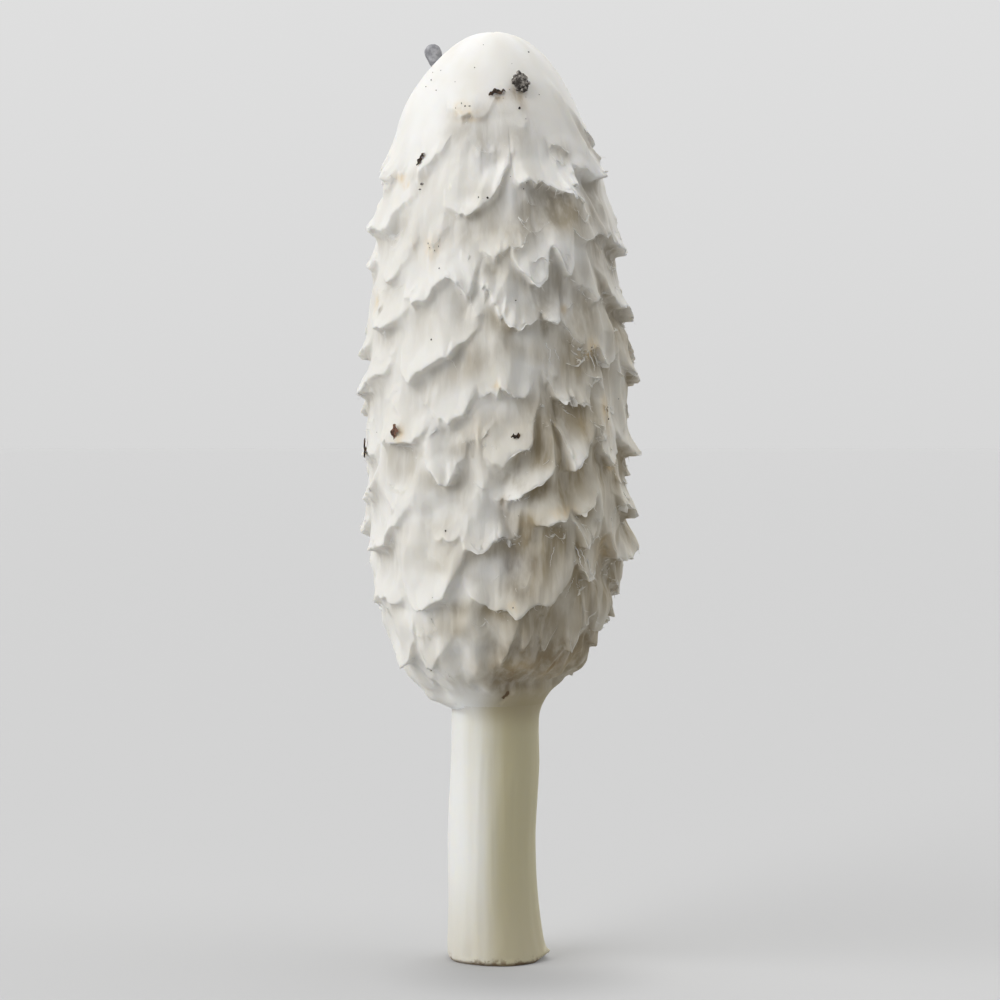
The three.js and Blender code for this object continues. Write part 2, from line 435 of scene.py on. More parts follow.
# how far the skin hangs past its edge, and how gently it rises to it, both less on the side that dried
SLACK, SLACK_LOST = 1.1, 0.75
GENTLE, GENTLE_LOST = 0.38, 0.15
fray_luck = np.random.default_rng(5)
coarse_fray = cap_grain(31, 1.5, 4, (FRAY_LINES, cap_columns))
fine_fray = cap_grain(32, 0.55, 4, (FRAY_LINES, cap_columns))
dry_side = np.clip(np.cos(np.radians(angles - DRY_ANGLE)), 0, 1) ** 1.2
sway_round = 0.75 * cap_grain(33, 4.5, 6)
sway_down = 0.7 * cap_grain(34, 4, 5)
sway_down += 0.3 * cap_grain(35, 1.4, 1.8)


def jagged(luck, columns):
    """A torn line round the cap, of about unit strength: short uneven ramps with a jump between each two."""
    steps = luck.uniform(0.3, 1.5, round(cap_round / 0.7)) / GRID_STEP
    starts = np.cumsum(steps)
    starts = starts[starts < columns]
    levels = luck.normal(size=(2, len(starts)))
    levels[1] = 0.6 * levels[0] + 0.6 * levels[1]
    places = np.stack([starts, np.append(starts[1:], columns) - 0.18 / GRID_STEP], -1).ravel()
    return np.interp(np.arange(columns), places, levels.T.ravel())


jags = np.array([jagged(fray_luck, cap_columns) for _ in range(FRAY_LINES)])
torn_edges, fleck_edges = [], []


def evened(line, width, mm_per_column):
    """A line of values along an edge, averaged over width mm."""
    half = max(1, round(0.5 * width / mm_per_column))
    kernel = np.hanning(2 * half + 3)[1:-1]
    return np.convolve(np.pad(line, half, mode="edge"), kernel / kernel.sum(), "valid")


def lay_scale(height_lift, reach, fray, edge, flares=(), resting=False):
    """Lays one scale on the cap. edge is its torn lower edge as (angle, height) from left to right. Its skin
    lifts over reach mm above that edge, and its tip stands height_lift mm off the cap. Its lip flares out
    more at each of flares. A resting scale lies on top of what is there already."""
    edge_angles = np.array([corner[0] for corner in edge], float)
    edge_ways = way_at(np.array([corner[1] for corner in edge], float))
    middle = (edge_angles[0] + edge_angles[-1]) / 2
    half_turn = (edge_angles[-1] - edge_angles[0]) / 2
    turned = wrapped(angles - middle) + middle
    inside = np.flatnonzero(np.abs(turned - middle) < half_turn)
    inside = inside[np.argsort(turned[inside])]
    here = turned[inside]
    mm_per_degree = math.pi / 180 * float(cap_radius(np.interp(edge_ways.mean(), fine_way, fine_heights)))
    edge_way = np.interp(here, edge_angles, edge_ways)
    mm_per_column = mm_per_degree * 360 / cap_columns
    edge_way = evened(edge_way, EDGE_ROUNDING, mm_per_column)
    tip_at, tip_way = here[np.argmax(edge_way)], edge_way.max()
    dome = (1 - np.abs((here - middle) / half_turn) ** DOME_POWER) ** DOME_ROOT
    low = np.clip((edge_way - edge_ways.min()) / max(1, np.ptp(edge_ways)), 0, 1)
    line = fray_luck.integers(0, FRAY_LINES)
    height_lift = height_lift * (1 - FLATTER_IN_FRONT * max(0, math.cos(math.radians(middle))) ** 2)
    share = dome * (CORNER_LIFT + MORE_AT_TIP * low)
    uneven = np.clip(1 + UNEVENNESS * coarse_fray[line, inside], 0.6, 1.3)
    torn = COARSE_TEARS * coarse_fray[line, inside] + FINE_TEARS * fine_fray[line, inside]
    torn = torn + JAGGED_TEARS * jags[line, inside]
    ragged = (0.15 + 0.85 * fray) * dome * torn
    top_lift = height_lift * share + 0.5 * dome * np.exp(-np.abs(here - tip_at) * mm_per_degree / 2.4)
    for flare_angle, half_width, extra in flares:
        top_lift += extra * np.exp(-(np.abs((here - flare_angle) * mm_per_degree / half_width) ** 2.6))
    edge_way = edge_way - OVERHANG * top_lift
    steepness = np.hypot(1, np.clip(np.gradient(edge_way, here * mm_per_degree), -2, 2))
    steepness = evened(steepness, 6, mm_per_column)
    even_share = evened(share, 5, mm_per_column)
    first = max(0, int((edge_way.min() - reach - way[0]) / GRID_STEP) - 8)
    last = min(len(way), int((edge_way.max() + 2.5 * reach - way[0]) / GRID_STEP) + 8)
    window = np.ix_(np.arange(first, last), inside)
    swayed = here[None] + sway_round[window] / mm_per_degree
    lowered = way[first:last, None] + sway_down[window]

    def swaying(values):
        """Values along the edge, read at each place on the swayed skin."""
        return np.interp(swayed, here, values)

    below = (lowered - swaying(edge_way)) / swaying(steepness)
    near_edge = np.exp(-((below / NEAR_EDGE) ** 2))
    by_edge = np.exp(-((below / BY_EDGE) ** 2))
    share = by_edge * swaying(share) + (1 - by_edge) * swaying(even_share)
    below = below - near_edge * swaying(ragged)
    share = share * (1 + near_edge * (swaying(uneven) - 1))
    above = np.clip(-below, 0, None)
    under = np.clip(below, 0, None)
    up = np.clip(1 - above / reach, 0, 1)
    slack = SLACK - SLACK_LOST * dry_side[inside]
    gentle = GENTLE - GENTLE_LOST * dry_side[inside]
    rise = np.where(below < 0, gentle * up**2 + (1 - gentle) * up**5, np.exp(-under / slack))
    # folds gather towards the tip, like a pinched cloth
    gathered = (swayed - tip_at) * mm_per_degree / (2.0 + 0.85 * above)
    folds = sum(
        size * np.sin(math.pi * (turns * gathered + fray_luck.uniform(0, 2)))
        for size, turns in ((0.5, fray_luck.uniform(0.3, 0.6)), (0.3, fray_luck.uniform(0.7, 1.3)))
    )
    pinch = PINCH_DEPTH * share * np.exp(-above / 2.6) * np.exp(-under / slack)
    # the tip itself is drawn out into a point, with creases running away from it
    below_tip = lowered - tip_way + OVERHANG * height_lift
    from_tip = np.hypot((swayed - tip_at) * mm_per_degree, 0.75 * below_tip)
    bearing = np.arctan2(lowered - tip_way, (swayed - tip_at) * mm_per_degree)
    creases = 1 - 0.55 * np.abs(np.sin(2 * bearing + fray_luck.uniform(-0.5, 0.5)))
    point = TIP_POINT * creases * np.exp(-from_tip / TIP_REACH) * swaying(dome)
    raised = height_lift * (share * rise + point) + pinch * folds * min(1.6, height_lift)
    for flare_angle, half_width, extra in flares:
        beside = (swayed - flare_angle) * mm_per_degree / half_width
        flaring = np.exp(-(np.abs(beside) ** 2.6)) * np.exp(-((above / FLARE_REACH) ** 1.3))
        flaring = flaring * np.exp(-under / (0.6 * slack))
        raised = raised + extra * flaring
    depth = HOLLOW_DEPTH + MORE_WHERE_DRY * dry_side[inside]
    dip = np.exp(-((under / ((0.5 + 0.3 * dry_side[inside]) * reach)) ** 1.5)) * (1 - np.exp(-under / slack))
    if resting:
        raised = raised + lift[window]
    lift[window] = np.maximum(lift[window], raised)
    hollow[window] = np.maximum(hollow[window], depth * height_lift * share * dip)
    edge_rows = np.argmin(np.abs(below), 0)
    edge_lift = raised[edge_rows, np.arange(len(inside))]
    laid = fleck_edges if resting else torn_edges
    laid.append((inside, first + edge_rows, edge_lift, fray * dome, line))


def lay_crest(height_lift, width, line):
    """Raises a fold of skin width mm wide along a line of (angle, height) points, fading at both ends."""
    line_angles = np.array([point[0] for point in line], float)
    line_ways = way_at(np.array([point[1] for point in line], float))
    rows = np.flatnonzero((way > line_ways.min()) & (way < line_ways.max()))
    crest_angle = np.interp(way[rows], line_ways, line_angles)
    crest_radius = side_radii[rows]
    along = (way[rows] - line_ways.min()) / np.ptp(line_ways)
    fade = smooth_step(along / 0.25) * smooth_step((1 - along) / 0.2)
    off = wrapped(angles[None] - crest_angle[:, None])
    off = off * (math.pi / 180 * crest_radius[:, None])
    steep = np.where(off > 0, width * 0.55, width * 1.5)
    lift[rows] = lift[rows] + height_lift * fade[:, None] * np.exp(-((off / steep) ** 2))


# The scales on the front, from the crown's torn edge down to the margin, each listed: lift, reach and fray,
# then the torn edge's corners as (angle, height), then where the lip flares out, as (angle, half width in mm,
# extra lift).
FRONT_SCALES = (
    # the crown skin's own torn edge
    (1.0, 7, 0.3, ((-34, 164.2), (-27, 162.9), (-20, 161.0), (-14, 161.5), (-8, 162.4), (-3, 164.0),
     (3, 166.2)), ((-17, 2.2, 0.5),)),
    (0.35, 6, 0.4, ((1, 163.5), (5, 161.8), (9, 160.4), (14, 159.6), (19, 160.8), (23, 162.5))),
    (1.0, 8, 0.6, ((-44, 148), (-39, 150.6), (-34, 153.0), (-29, 154.4), (-23, 156.8), (-17, 159.8),
     (-13, 162.5)), ((-37, 1.5, 0.7), (-30, 1.3, 0.4))),
    (2.0, 9, 0.4, ((-90, 143.8), (-80, 142.3), (-70, 141.6), (-61, 142.0), (-54, 144.2), (-48, 145.2),
     (-43, 147.2), (-39, 151))),
    (1.2, 7, 0.3, ((-98, 154.5), (-86, 152.8), (-76, 151.9), (-68, 151.4), (-60, 150.9), (-54, 152.6))),
    (0.7, 6, 0.6, ((29, 158.5), (35, 156.6), (42, 156.4), (47, 155.6), (51, 156.8))),
    (1.9, 9, 0.3, ((43, 155.5), (50, 153.4), (58, 152.6), (66, 151.8), (71, 151.3), (76, 153.4),
     (82, 157.5))),
    (0.9, 8, 0.4, ((56, 165.5), (63, 162.0), (70, 159.6), (80, 158.2), (92, 158.6), (101, 161))),
    # down to the widest part
    (2.6, 8, 1.2, ((9, 150.5), (12.5, 147.7), (18, 148.2), (24, 148.3), (30, 148.1), (36, 147.7),
     (43, 148.2), (47, 151.5), (50, 154)), ((42, 2.4, 1.3), (14, 1.5, 0.5), (29, 3, 0.4))),
    (1.7, 8, 0.8, ((-26, 147), (-18, 144.7), (-12.5, 143.1), (-9, 145.3), (-4, 146.2), (0, 147.4),
     (3.5, 149.8), (8, 153)), ((2.5, 1.8, 1.0), (-12, 1.5, 0.5))),
    (0.5, 6, 0.5, ((-7, 153.5), (-2, 154.4), (3, 156.4), (8, 159))),
    (0.7, 8, 0.3, ((-33, 138.2), (-28, 137.8), (-25, 139.2), (-21, 140.4), (-17, 143.6))),
    (1.5, 6, 0.5, ((-64, 133.4), (-58, 131.2), (-55, 130.8), (-50, 131.5), (-45, 133.2), (-41, 136.5)),
     ((-54, 1.3, 0.6),)),
    (2.3, 9, 0.9, ((-43, 128.5), (-38, 125.9), (-34.5, 127), (-31, 130.2), (-26, 130.7), (-22, 130.7),
     (-17, 128.1), (-12.5, 129.8), (-8, 132.8), (-4, 136)), ((-25, 3, 0.6), (-37, 1.2, 0.4))),
    (1.4, 6, 0.9, ((-8, 136.5), (-4, 134.2), (-1, 132.8), (2.5, 134.3), (6, 136.2), (9.5, 138.2),
     (11, 141.6)), ((0, 1.6, 0.4),)),
    (2.4, 7, 0.9, ((6, 136.5), (10.5, 132.4), (15, 130.8), (20, 131.3), (23, 133.6), (25, 135.6),
     (28, 134.4), (31.5, 132.8), (34.5, 134), (37, 138.5)), ((16, 3.4, 1.3), (31.5, 2.2, 1.5))),
    (2.3, 8, 1.2, ((-11, 130.5), (-6, 127.4), (-2, 126.0), (3, 125.4), (8, 123.8), (12, 123.0), (16, 124),
     (19.5, 125), (21, 128.5)), ((14, 3.2, 1.0), (-2, 2.5, 0.5))),
    (2.6, 5, 0.6, ((19.5, 128.5), (22, 124.6), (25, 123.7), (28, 124.7), (31, 128.8)), ((25.5, 1.5, 1.4),)),
    (1.2, 8, 0.6, ((33, 134.2), (37, 131.9), (42, 130.4), (46, 128.2), (50, 126.2), (53, 128.5))),
    (2.5, 9, 0.4, ((50, 134.5), (55, 131.2), (60, 128.2), (66, 126.5), (74, 125.6), (84, 124.6), (91, 124.2),
     (98, 127.5))),
    (2.2, 8, 0.5, ((42, 138), (49, 139.6), (56, 140.0), (62, 139.4), (70, 137.9), (80, 137.0), (90, 137.4),
     (99, 140.5))),
    (1.3, 9, 0.8, ((26, 127.2), (31, 123.6), (35, 120.6), (39, 118.8), (43, 121))),
    (1.5, 8, 0.7, ((32, 120.5), (38, 117.6), (46, 118.4), (52, 117.6), (58, 116.4), (64, 116.0),
     (70, 118.5))),
    (2.6, 12, 0.5, ((-47, 115), (-42, 112.6), (-37, 112.3), (-32, 113.9), (-27, 115.7), (-20, 117.1),
     (-12, 118.9), (-5, 122.5)), ((-22, 4.5, 0.7),)),
    (2.1, 8, 0.5, ((-76, 125.5), (-68, 123.2), (-61, 121.8), (-56, 122.2), (-50, 123.9), (-44, 124.8),
     (-39, 127.5)), ((-60, 1.6, 0.6),)),
    (2.4, 7, 0.3, ((-104, 121.5), (-96, 118.4), (-88, 117.3), (-80, 118.6), (-73, 121.5))),
    (2.0, 7, 0.3, ((-105, 137.5), (-97, 134.6), (-88, 133.8), (-80, 134.9), (-72, 138))),
    (2.4, 8, 0.3, ((-102, 114.5), (-92, 111.4), (-84, 110.6), (-76, 110.6), (-69, 110.2), (-62, 111.4),
     (-54, 113.6), (-48, 117))),
    (2.6, 8, 0.4, ((72, 116.5), (80, 113.6), (88, 111.8), (96, 112.2), (103, 115.5))),
    (2.0, 8, 0.9, ((-13, 112.5), (-8, 109.8), (-3, 108.6), (0, 110.2), (5, 110.1), (9, 110.5), (11.5, 109.4),
     (15, 109.6), (18, 112), (20.5, 116)), ((2.5, 1.8, 0.8), (14, 1.5, 0.8))),
    (2.3, 7, 1.3, ((18, 115.5), (22, 111.6), (27, 108.9), (30, 107.0), (32, 109.2), (36, 108.4), (41, 107.5),
     (44, 109), (48, 113.5)), ((28, 1.8, 0.5), (40, 2.2, 0.6))),
    (2.2, 9, 0.4, ((-33, 109.5), (-26, 104.8), (-20, 102.9), (-16, 104.5), (-12.5, 107), (-9, 110.5),
     (-7, 115)), ((-13, 1.8, 0.4),)),
    (2.2, 8, 0.4, ((-60, 102.5), (-53, 100.0), (-47, 99.9), (-42, 100.4), (-36, 101.8), (-30, 105)),
     ((-46, 2.5, 0.4),)),
    (1.8, 7, 0.3, ((-106, 102), (-96, 98.8), (-86, 97.6), (-77, 97.9), (-70, 98.9), (-64, 102))),
    (2.3, 9, 0.7, ((-36, 100), (-30, 96.2), (-25, 93.0), (-21, 94.4), (-16, 96.6), (-12, 99), (-9, 104)),
     ((-19, 2.2, 0.4),)),
    (2.0, 9, 0.4, ((-6, 100.5), (-2, 97.2), (1.5, 95.2), (5, 98), (10, 101.4), (15, 105), (19, 108),
     (22, 111.5)), ((12, 3.2, 1.1),)),
    (2.4, 8, 0.3, ((-7, 91.5), (-2, 88.6), (3, 87.8), (7, 89.1), (12, 91.2), (17, 93.3), (21, 96.2),
     (24, 101)), ((15, 4.5, 1.3), (3, 2.5, 0.5))),
    (2.4, 8, 0.7, ((21, 108), (25, 102.8), (28.5, 99), (32, 96.2), (36, 97), (41, 98), (44.5, 100.5),
     (47, 105)), ((34, 3.0, 1.1),)),
    (1.7, 8, 0.6, ((43, 106.5), (48, 102.4), (52, 98.8), (56, 96.4), (60, 96.2), (65, 98.4), (70, 102.5))),
    (1.9, 7, 0.4, ((62, 104), (70, 100.2), (78, 98.9), (88, 99.2), (96, 98.8), (104, 102.5))),
    (1.4, 5, 0.4, ((78, 96.8), (86, 94.8), (94, 94.6), (101, 97))),
    (2.5, 7, 0.4, ((57, 91.5), (64, 88.4), (72, 86.4), (80, 87.0), (90, 88.0), (100, 91.5))),
    (2.2, 6, 0.5, ((13, 90.5), (17, 86.2), (22, 84.9), (27, 84.6), (31.5, 85.3), (36, 88.8)),
     ((24, 3.0, 1.5),)),
    (1.6, 5, 0.9, ((34, 89), (38, 86.4), (42, 88.0), (47, 92)), ((41, 1.4, 0.9),)),
    (1.8, 5, 1.3, ((32, 86), (36.5, 82.6), (39.5, 81.6), (43, 82.6), (48, 86.5)), ((36.5, 1, 0.8),)),
    (2.4, 10, 0.3, ((48, 88), (53, 82.8), (58, 80.0), (64, 78.2), (72, 77.6), (80, 78.6), (90, 80.8),
     (99, 84.5))),
    (1.2, 6, 0.5, ((-33, 85), (-28, 82.7), (-22, 82.1), (-17, 83.3), (-13, 86)), ((-21, 2, 0.4),)),
    (2.1, 8, 0.6, ((-19, 84), (-14, 80.6), (-8, 80.0), (-4, 81.8), (0, 83.3), (3.5, 81.7), (7, 82.5),
     (11, 87.5), (14, 92)), ((-12, 2.4, 0.8), (-2, 1.8, 0.7))),
    (2.3, 10, 0.3, ((-90, 82.2), (-82, 80.8), (-76, 80.2), (-70, 80.6), (-62, 81.6), (-55, 83), (-48, 85.3),
     (-42, 87.5), (-35, 90))),
    (1.8, 7, 0.3, ((-102, 93.4), (-94, 91.2), (-86, 91.0), (-78, 92.0), (-70, 91.6), (-64, 93.5),
     (-58, 96.5))),
    (2.3, 10, 0.2, ((-47, 77), (-42, 72.4), (-36, 70.2), (-30, 69.7), (-25, 70.4), (-20, 72), (-16, 75.4),
     (-13, 80.5)), ((-18, 2.6, 1.0), (-31, 3.5, 0.5))),
    (1.8, 7, 0.5, ((-96, 73.5), (-86, 70.6), (-76, 69.6), (-68, 70.0), (-60, 71.6), (-53, 70.6),
     (-46, 73.5))),
    (2.0, 8, 0.6, ((-14, 75.5), (-8, 71.6), (-3, 69.7), (3, 69.9), (10, 68.9), (16, 69.7), (22, 70.9),
     (28, 71), (33, 73.5), (37, 78)), ((24, 3.2, 1.2), (-4, 3, 0.7), (12, 2, 0.6))),
    (1.0, 8, 0.2, ((2, 60.5), (6, 58.6), (9, 60.6), (12, 64), (15, 68), (19, 71)), ((10, 2, 0.5),)),
    (2.0, 6, 1.2, ((33, 82.5), (37, 78.8), (42, 77.0), (47, 75.1), (51, 76.6), (56, 81))),
    (1.1, 5, 0.7, ((46, 70.5), (51, 66.8), (55, 64.6), (58, 67), (61, 70.5))),
    (1.1, 5, 0.7, ((57, 71), (62, 66.8), (67, 64.4), (71, 66), (76, 70))),
    (1.5, 5, 0.5, ((62, 77), (70, 74), (78, 72.8), (88, 73.4), (97, 77))),
    (1.6, 5, 0.4, ((68, 71.5), (76, 68.6), (84, 67.2), (92, 68.2), (100, 71.5))),
    (0.9, 4, 0.3, ((14, 66.5), (18, 63.2), (21, 62.6), (25, 66)), ((20, 1, 0.5),)),
    (1.0, 4, 0.3, ((24, 66.5), (28.5, 62.8), (31, 61.4), (35, 63.5), (38, 67)), ((30, 1, 0.5),)),
    (1.0, 4, 0.4, ((38, 67.5), (42, 64.4), (46, 61.8), (50, 64), (53, 67.5)), ((45, 1, 0.4),)),
    (1.2, 4, 0.3, ((66, 64.5), (76, 61.8), (86, 61.2), (96, 62.4), (104, 66))),
    (2.0, 6, 0.3, ((-84, 64.5), (-76, 61.4), (-68, 60.2), (-60, 59.8), (-54, 61.2), (-48, 64), (-43, 67.5))),
    (1.2, 6, 0.5, ((-52, 60.5), (-45, 57.8), (-38, 58.6), (-32, 58.4), (-26, 60.4), (-20, 63.5))),
    (1.2, 5, 0.3, ((-82, 57.5), (-70, 54.6), (-60, 53.8), (-50, 55), (-42, 57.5))),
    (0.6, 6, 0.4, ((-40, 68.5), (-35, 66), (-30, 64.2), (-25, 65.4), (-20, 68.5))),
    (0.35, 6, 0.3, ((-24, 68), (-16, 64.8), (-8, 63.6), (-1, 65.6), (4, 69))),
)
for scale in FRONT_SCALES:
    lay_scale(*scale)

# Long folds of skin run down the side that dried first: lift, width, then (angle, height) going down.
FRONT_CRESTS = (
    (0.7, 0.8, ((46, 171), (50, 168), (55, 161.5), (60, 157), (66, 153.5), (70, 151.5))),
    (0.5, 0.7, ((55, 167), (64, 162), (75, 157), (80, 153))),
    (0.5, 0.8, ((44, 151.5), (46, 147), (49, 142), (50, 137))),
    (0.6, 0.7, ((55, 152), (57, 147), (58, 143), (61, 139))),
    (0.5, 0.7, ((46, 139), (47, 132), (50, 125), (52, 119))),
    (0.6, 0.8, ((56, 128), (59, 121), (61, 114), (63, 106))),
    (0.5, 0.7, ((68, 127), (70, 119), (71, 111), (75, 102))),
    (0.5, 0.7, ((52, 117), (54, 110), (56, 104), (58, 98))),
    (0.4, 0.7, ((46, 97), (47, 92), (50, 87), (50, 82))),
    (0.4, 0.6, ((62, 95), (64, 89), (66, 84))),
    (0.5, 0.7, ((55, 80), (56, 75), (58, 70), (60, 66))),
)
for crest in FRONT_CRESTS:
    lay_crest(*crest)

# The scales round the back follow in staggered rows, each with a tip of its own shape.
back_luck = np.random.default_rng(17)
BACK_ROWS = 12
BACK_TOP, BACK_BOTTOM = 157, 60
BACK_FROM, BACK_TO = 92, 268
BACK_LIFT, BACK_REACH, BACK_FRAY, BACK_DROP = 2.0, 8.5, 0.65, 4.2
CLEAR_OF_FRONT = 8
for row in range(BACK_ROWS):
    row_height = BACK_TOP + (BACK_BOTTOM - BACK_TOP) * row / (BACK_ROWS - 1)
    count = round(7 + 1.2 * math.sin(math.pi * (row + 1) / BACK_ROWS))
    spacing = (BACK_TO - BACK_FROM) / count
    for index in range(-1, count + 1):
        luck = back_luck.uniform(-1, 1, 8)
        tip = BACK_FROM + spacing * (index + 0.5 + 0.5 * (row % 2)) + 4 * luck[0]
        if not BACK_FROM + CLEAR_OF_FRONT < tip < BACK_TO - CLEAR_OF_FRONT:
            continue
        half = spacing * (0.66 + 0.2 * luck[1])
        height = row_height + 3.4 * luck[2]
        drop = BACK_DROP + 2.2 * luck[3]
        edge = (
            (tip - half, height + drop * 0.5 + luck[4]),
            (tip - 0.5 * half, height - 0.45 * drop + 1.3 * luck[5]),
            (tip, height - drop * 0.75),
            (tip + 0.45 * half, height - 0.4 * drop + 1.3 * luck[6]),
            (tip + half, height + drop * 0.5 - luck[4]),
        )
        lay_scale(BACK_LIFT + 0.75 * luck[7], BACK_REACH + luck[0], BACK_FRAY + 0.4 * luck[1], edge)

# Small torn flecks of skin lie between the scales all round.
FLECK_COUNT = 330
FLECKS_FROM, FLECKS_OVER = 62, 94
fleck_luck = np.random.default_rng(29)
for _ in range(FLECK_COUNT):
    tip = fleck_luck.uniform(-180, 180)
    height = FLECKS_FROM + FLECKS_OVER * fleck_luck.uniform(0, 1) ** 0.8
    half = fleck_luck.uniform(2.5, 8)
    drop = fleck_luck.uniform(0.4, 2.4)
    skew = fleck_luck.uniform(-1.8, 1.8)
    inner = half * fleck_luck.uniform(-0.5, 0.5)
    edge = ((tip - half, height + drop + skew), (tip + inner, height), (tip + half, height + drop - skew))
    lay_scale(fleck_luck.uniform(0.25, 0.75), fleck_luck.uniform(2, 4.5), 1.0, edge, resting=True)


def softened(field, sigma):
    """A field over the cap's side, blurred by sigma mm."""
    half = max(1, round(2.5 * sigma / GRID_STEP))
    kernel = np.exp(-0.5 * (np.arange(-half, half + 1) * GRID_STEP / sigma) ** 2)
    kernel /= kernel.sum()
    across = sum(share * np.roll(field, step - half, 1) for step, share in enumerate(kernel))
    padded = np.pad(across, ((half, half), (0, 0)), mode="edge")
    return sum(share * padded[step : step + len(field)] for step, share in enumerate(kernel))


lift = softened(lift, 0.15)
hollow = softened(hollow, 0.35)

# The body swells a little more in some places: (angle, height, half turn, half height, mm).
BODY_SWELLS = (
    (-90, 165, 45, 9, 1.2), (85, 80, 45, 14, 1.1), (-70, 59, 40, 5, -0.7), (60, 53.5, 60, 2.8, -1.9),
    (-90, 51, 60, 2.5, 0.5),
)
body_swell = np.zeros(cap_shape)
for at_angle, at_height, half_turn, half_height, swell in BODY_SWELLS:
    turned = wrapped(angles - at_angle) / half_turn
    up = (side_heights - at_height) / half_height
    body_swell += swell * np.exp(-(turned**2)) * np.exp(-(up**2))[:, None]

# Fibres run down the cap under the torn skin, deeper in the hollows and on the side that dried.
flow = margin_flow(np.radians(angles))[None]
way_share = smooth_step((way - way_at(163)) / 10)[:, None]
way_share = way_share * smooth_step((WAY_LENGTH - 0.4 - way)[:, None] / (3 + 3 * flow))
lumps = cap_grain(44, 7, 9)
dents = cap_grain(46, 3.2, 4.5)
low_half = smooth_step((way - way_at(112)) / 30)[:, None]
crumples = softened(0.6 - np.abs(cap_grain(47, 6, 8)), 0.15)
fine_crumples = 0.6 - np.abs(cap_grain(48, 2.6, 3.6))
in_hollow = np.clip(hollow, 0, 1)
LUMP_DEPTH, FLUFF_DEPTH, FURROW_DEPTH = 0.4, 0.035, 0.06
# each as the depth everywhere and the depth that is added low down, or on the side that dried
DENT_DEPTH, PILL_DEPTH = (0.27, 0.2), (0.11, 0.05)
CRUMPLE_DEPTH, FINE_CRUMPLE_DEPTH = (0.34, 0.16), (0.12, 0.12)
out = (
    lift
    - hollow
    + body_swell
    + LUMP_DEPTH * lumps * (0.25 + 0.75 * way_share)
    + (DENT_DEPTH[0] + DENT_DEPTH[1] * low_half) * dents * way_share
    + (PILL_DEPTH[0] + PILL_DEPTH[1] * low_half) * cap_grain(49, 1.7, 2.1) * way_share
    + FLUFF_DEPTH * cap_grain(50, 0.8, 1.0) * way_share
    + way_share * (CRUMPLE_DEPTH[0] + CRUMPLE_DEPTH[1] * dry_side) * crumples
    + way_share * (FINE_CRUMPLE_DEPTH[0] + FINE_CRUMPLE_DEPTH[1] * dry_side) * fine_crumples
)
# the fibres: seed, width, length, then depth in mm everywhere, more in the hollows, more on the dry side
FIBRES = (
    (41, 1.5, 15, 0.01, 0.025, 0.03),
    (42, 0.75, 8, 0.01, 0.03, 0.02),
    (43, 0.45, 5, 0.008, 0.02, 0.015),
)
for seed, across, along, depth, more_hollow, more_dry in FIBRES:
    depths = depth + more_hollow * in_hollow + more_dry * dry_side
    out = out + way_share * depths * cap_grain(seed, across, along)
out = out + way_share * dry_side * FURROW_DEPTH * cap_grain(45, 3.0, 30)
down = OVERHANG * lift

side_slopes = np.gradient(side_radii, way), np.gradient(side_heights, way)
down_out, down_up = (slope[:, None] for slope in side_slopes)
surface_out = side_radii[:, None] - down_up * out + down_out * down
surface_up = side_heights[:, None] + down_out * out + down_up * down
turn = np.radians(angles)[None]
held = flow * smooth_step((MARGIN_HEIGHT + 4.5 - surface_up) / 2.5)
surface_out = (1 - held) * surface_out + held * join_out(turn, surface_up)
# there the skin has one short slanting slit, at the front
SLIT_ANGLE, SLIT_HEIGHT, SLIT_SLANT, SLIT_DEPTH = 9, 52.2, 3, 0.6
beside_slit = np.degrees(turn) - SLIT_ANGLE - SLIT_SLANT * (surface_up - SLIT_HEIGHT)
in_slit = np.exp(-((beside_slit / 3.4) ** 2) - ((surface_up - SLIT_HEIGHT) / 1.3) ** 2)
surface_out = surface_out - SLIT_DEPTH * in_slit * (surface_up > MARGIN_HEIGHT + 0.3)

# The margin: it meets the stem's flare on the right and the front, and ends in a crease on the left.
margin_drop = 0.8 + 0.3 * flow
last_out, last_up = surface_out[-1:], surface_up[-1:]
margin_share = np.linspace(0, 1, 12)[1:, None]
margin_up = last_up - margin_drop * margin_share
spare = last_out - join_out(turn, last_up)
margin_out = join_out(turn, margin_up) + spare * (1 - margin_share) ** 1.2 - 0.05 * margin_share**2
socket_up = np.array([MARGIN_HEIGHT + 1, MARGIN_HEIGHT + 8, STEM_TOP + SOCKET_CLEARANCE])
socket_up = socket_up[:, None] * np.ones(cap_columns)
socket_out = np.full((3, cap_columns), STEM_RADIUS + SOCKET_CLEARANCE)
all_out = np.concatenate([surface_out, margin_out, socket_out])
all_up = np.concatenate([surface_up, margin_up, socket_up])
cap_x = lean(all_up) + join_bend(all_up) + all_out * np.sin(turn)
cap_y = -all_out * np.cos(turn)
cap_points = np.stack([cap_x, cap_y, all_up], -1).reshape(-1, 3)
crown_middle = [lean(CAP_TOP), 0, surface_up[0].mean() + 0.005]
socket_middle = [lean(STEM_TOP), 0, STEM_TOP + SOCKET_CLEARANCE]
all_rows = len(all_out)
cap_faces = [
    wrapped_faces(all_rows, cap_columns),
    end_fan(0, cap_columns, len(cap_points), False),
    end_fan((all_rows - 1) * cap_columns, cap_columns, len(cap_points) + 1, True),
]


def with_ends(field, at_rim=0):
    """A shade over the cap's side, carried on over its margin, socket and two middle points."""
    down_margin = field[-1:] + (at_rim - field[-1:]) * smooth_step(margin_share * 1.6)
    in_socket = np.full((all_rows - len(field) - len(down_margin), cap_columns), float(at_rim))
    return np.concatenate([np.concatenate([field, down_margin, in_socket]).ravel(), [field[0].mean(), 0]])


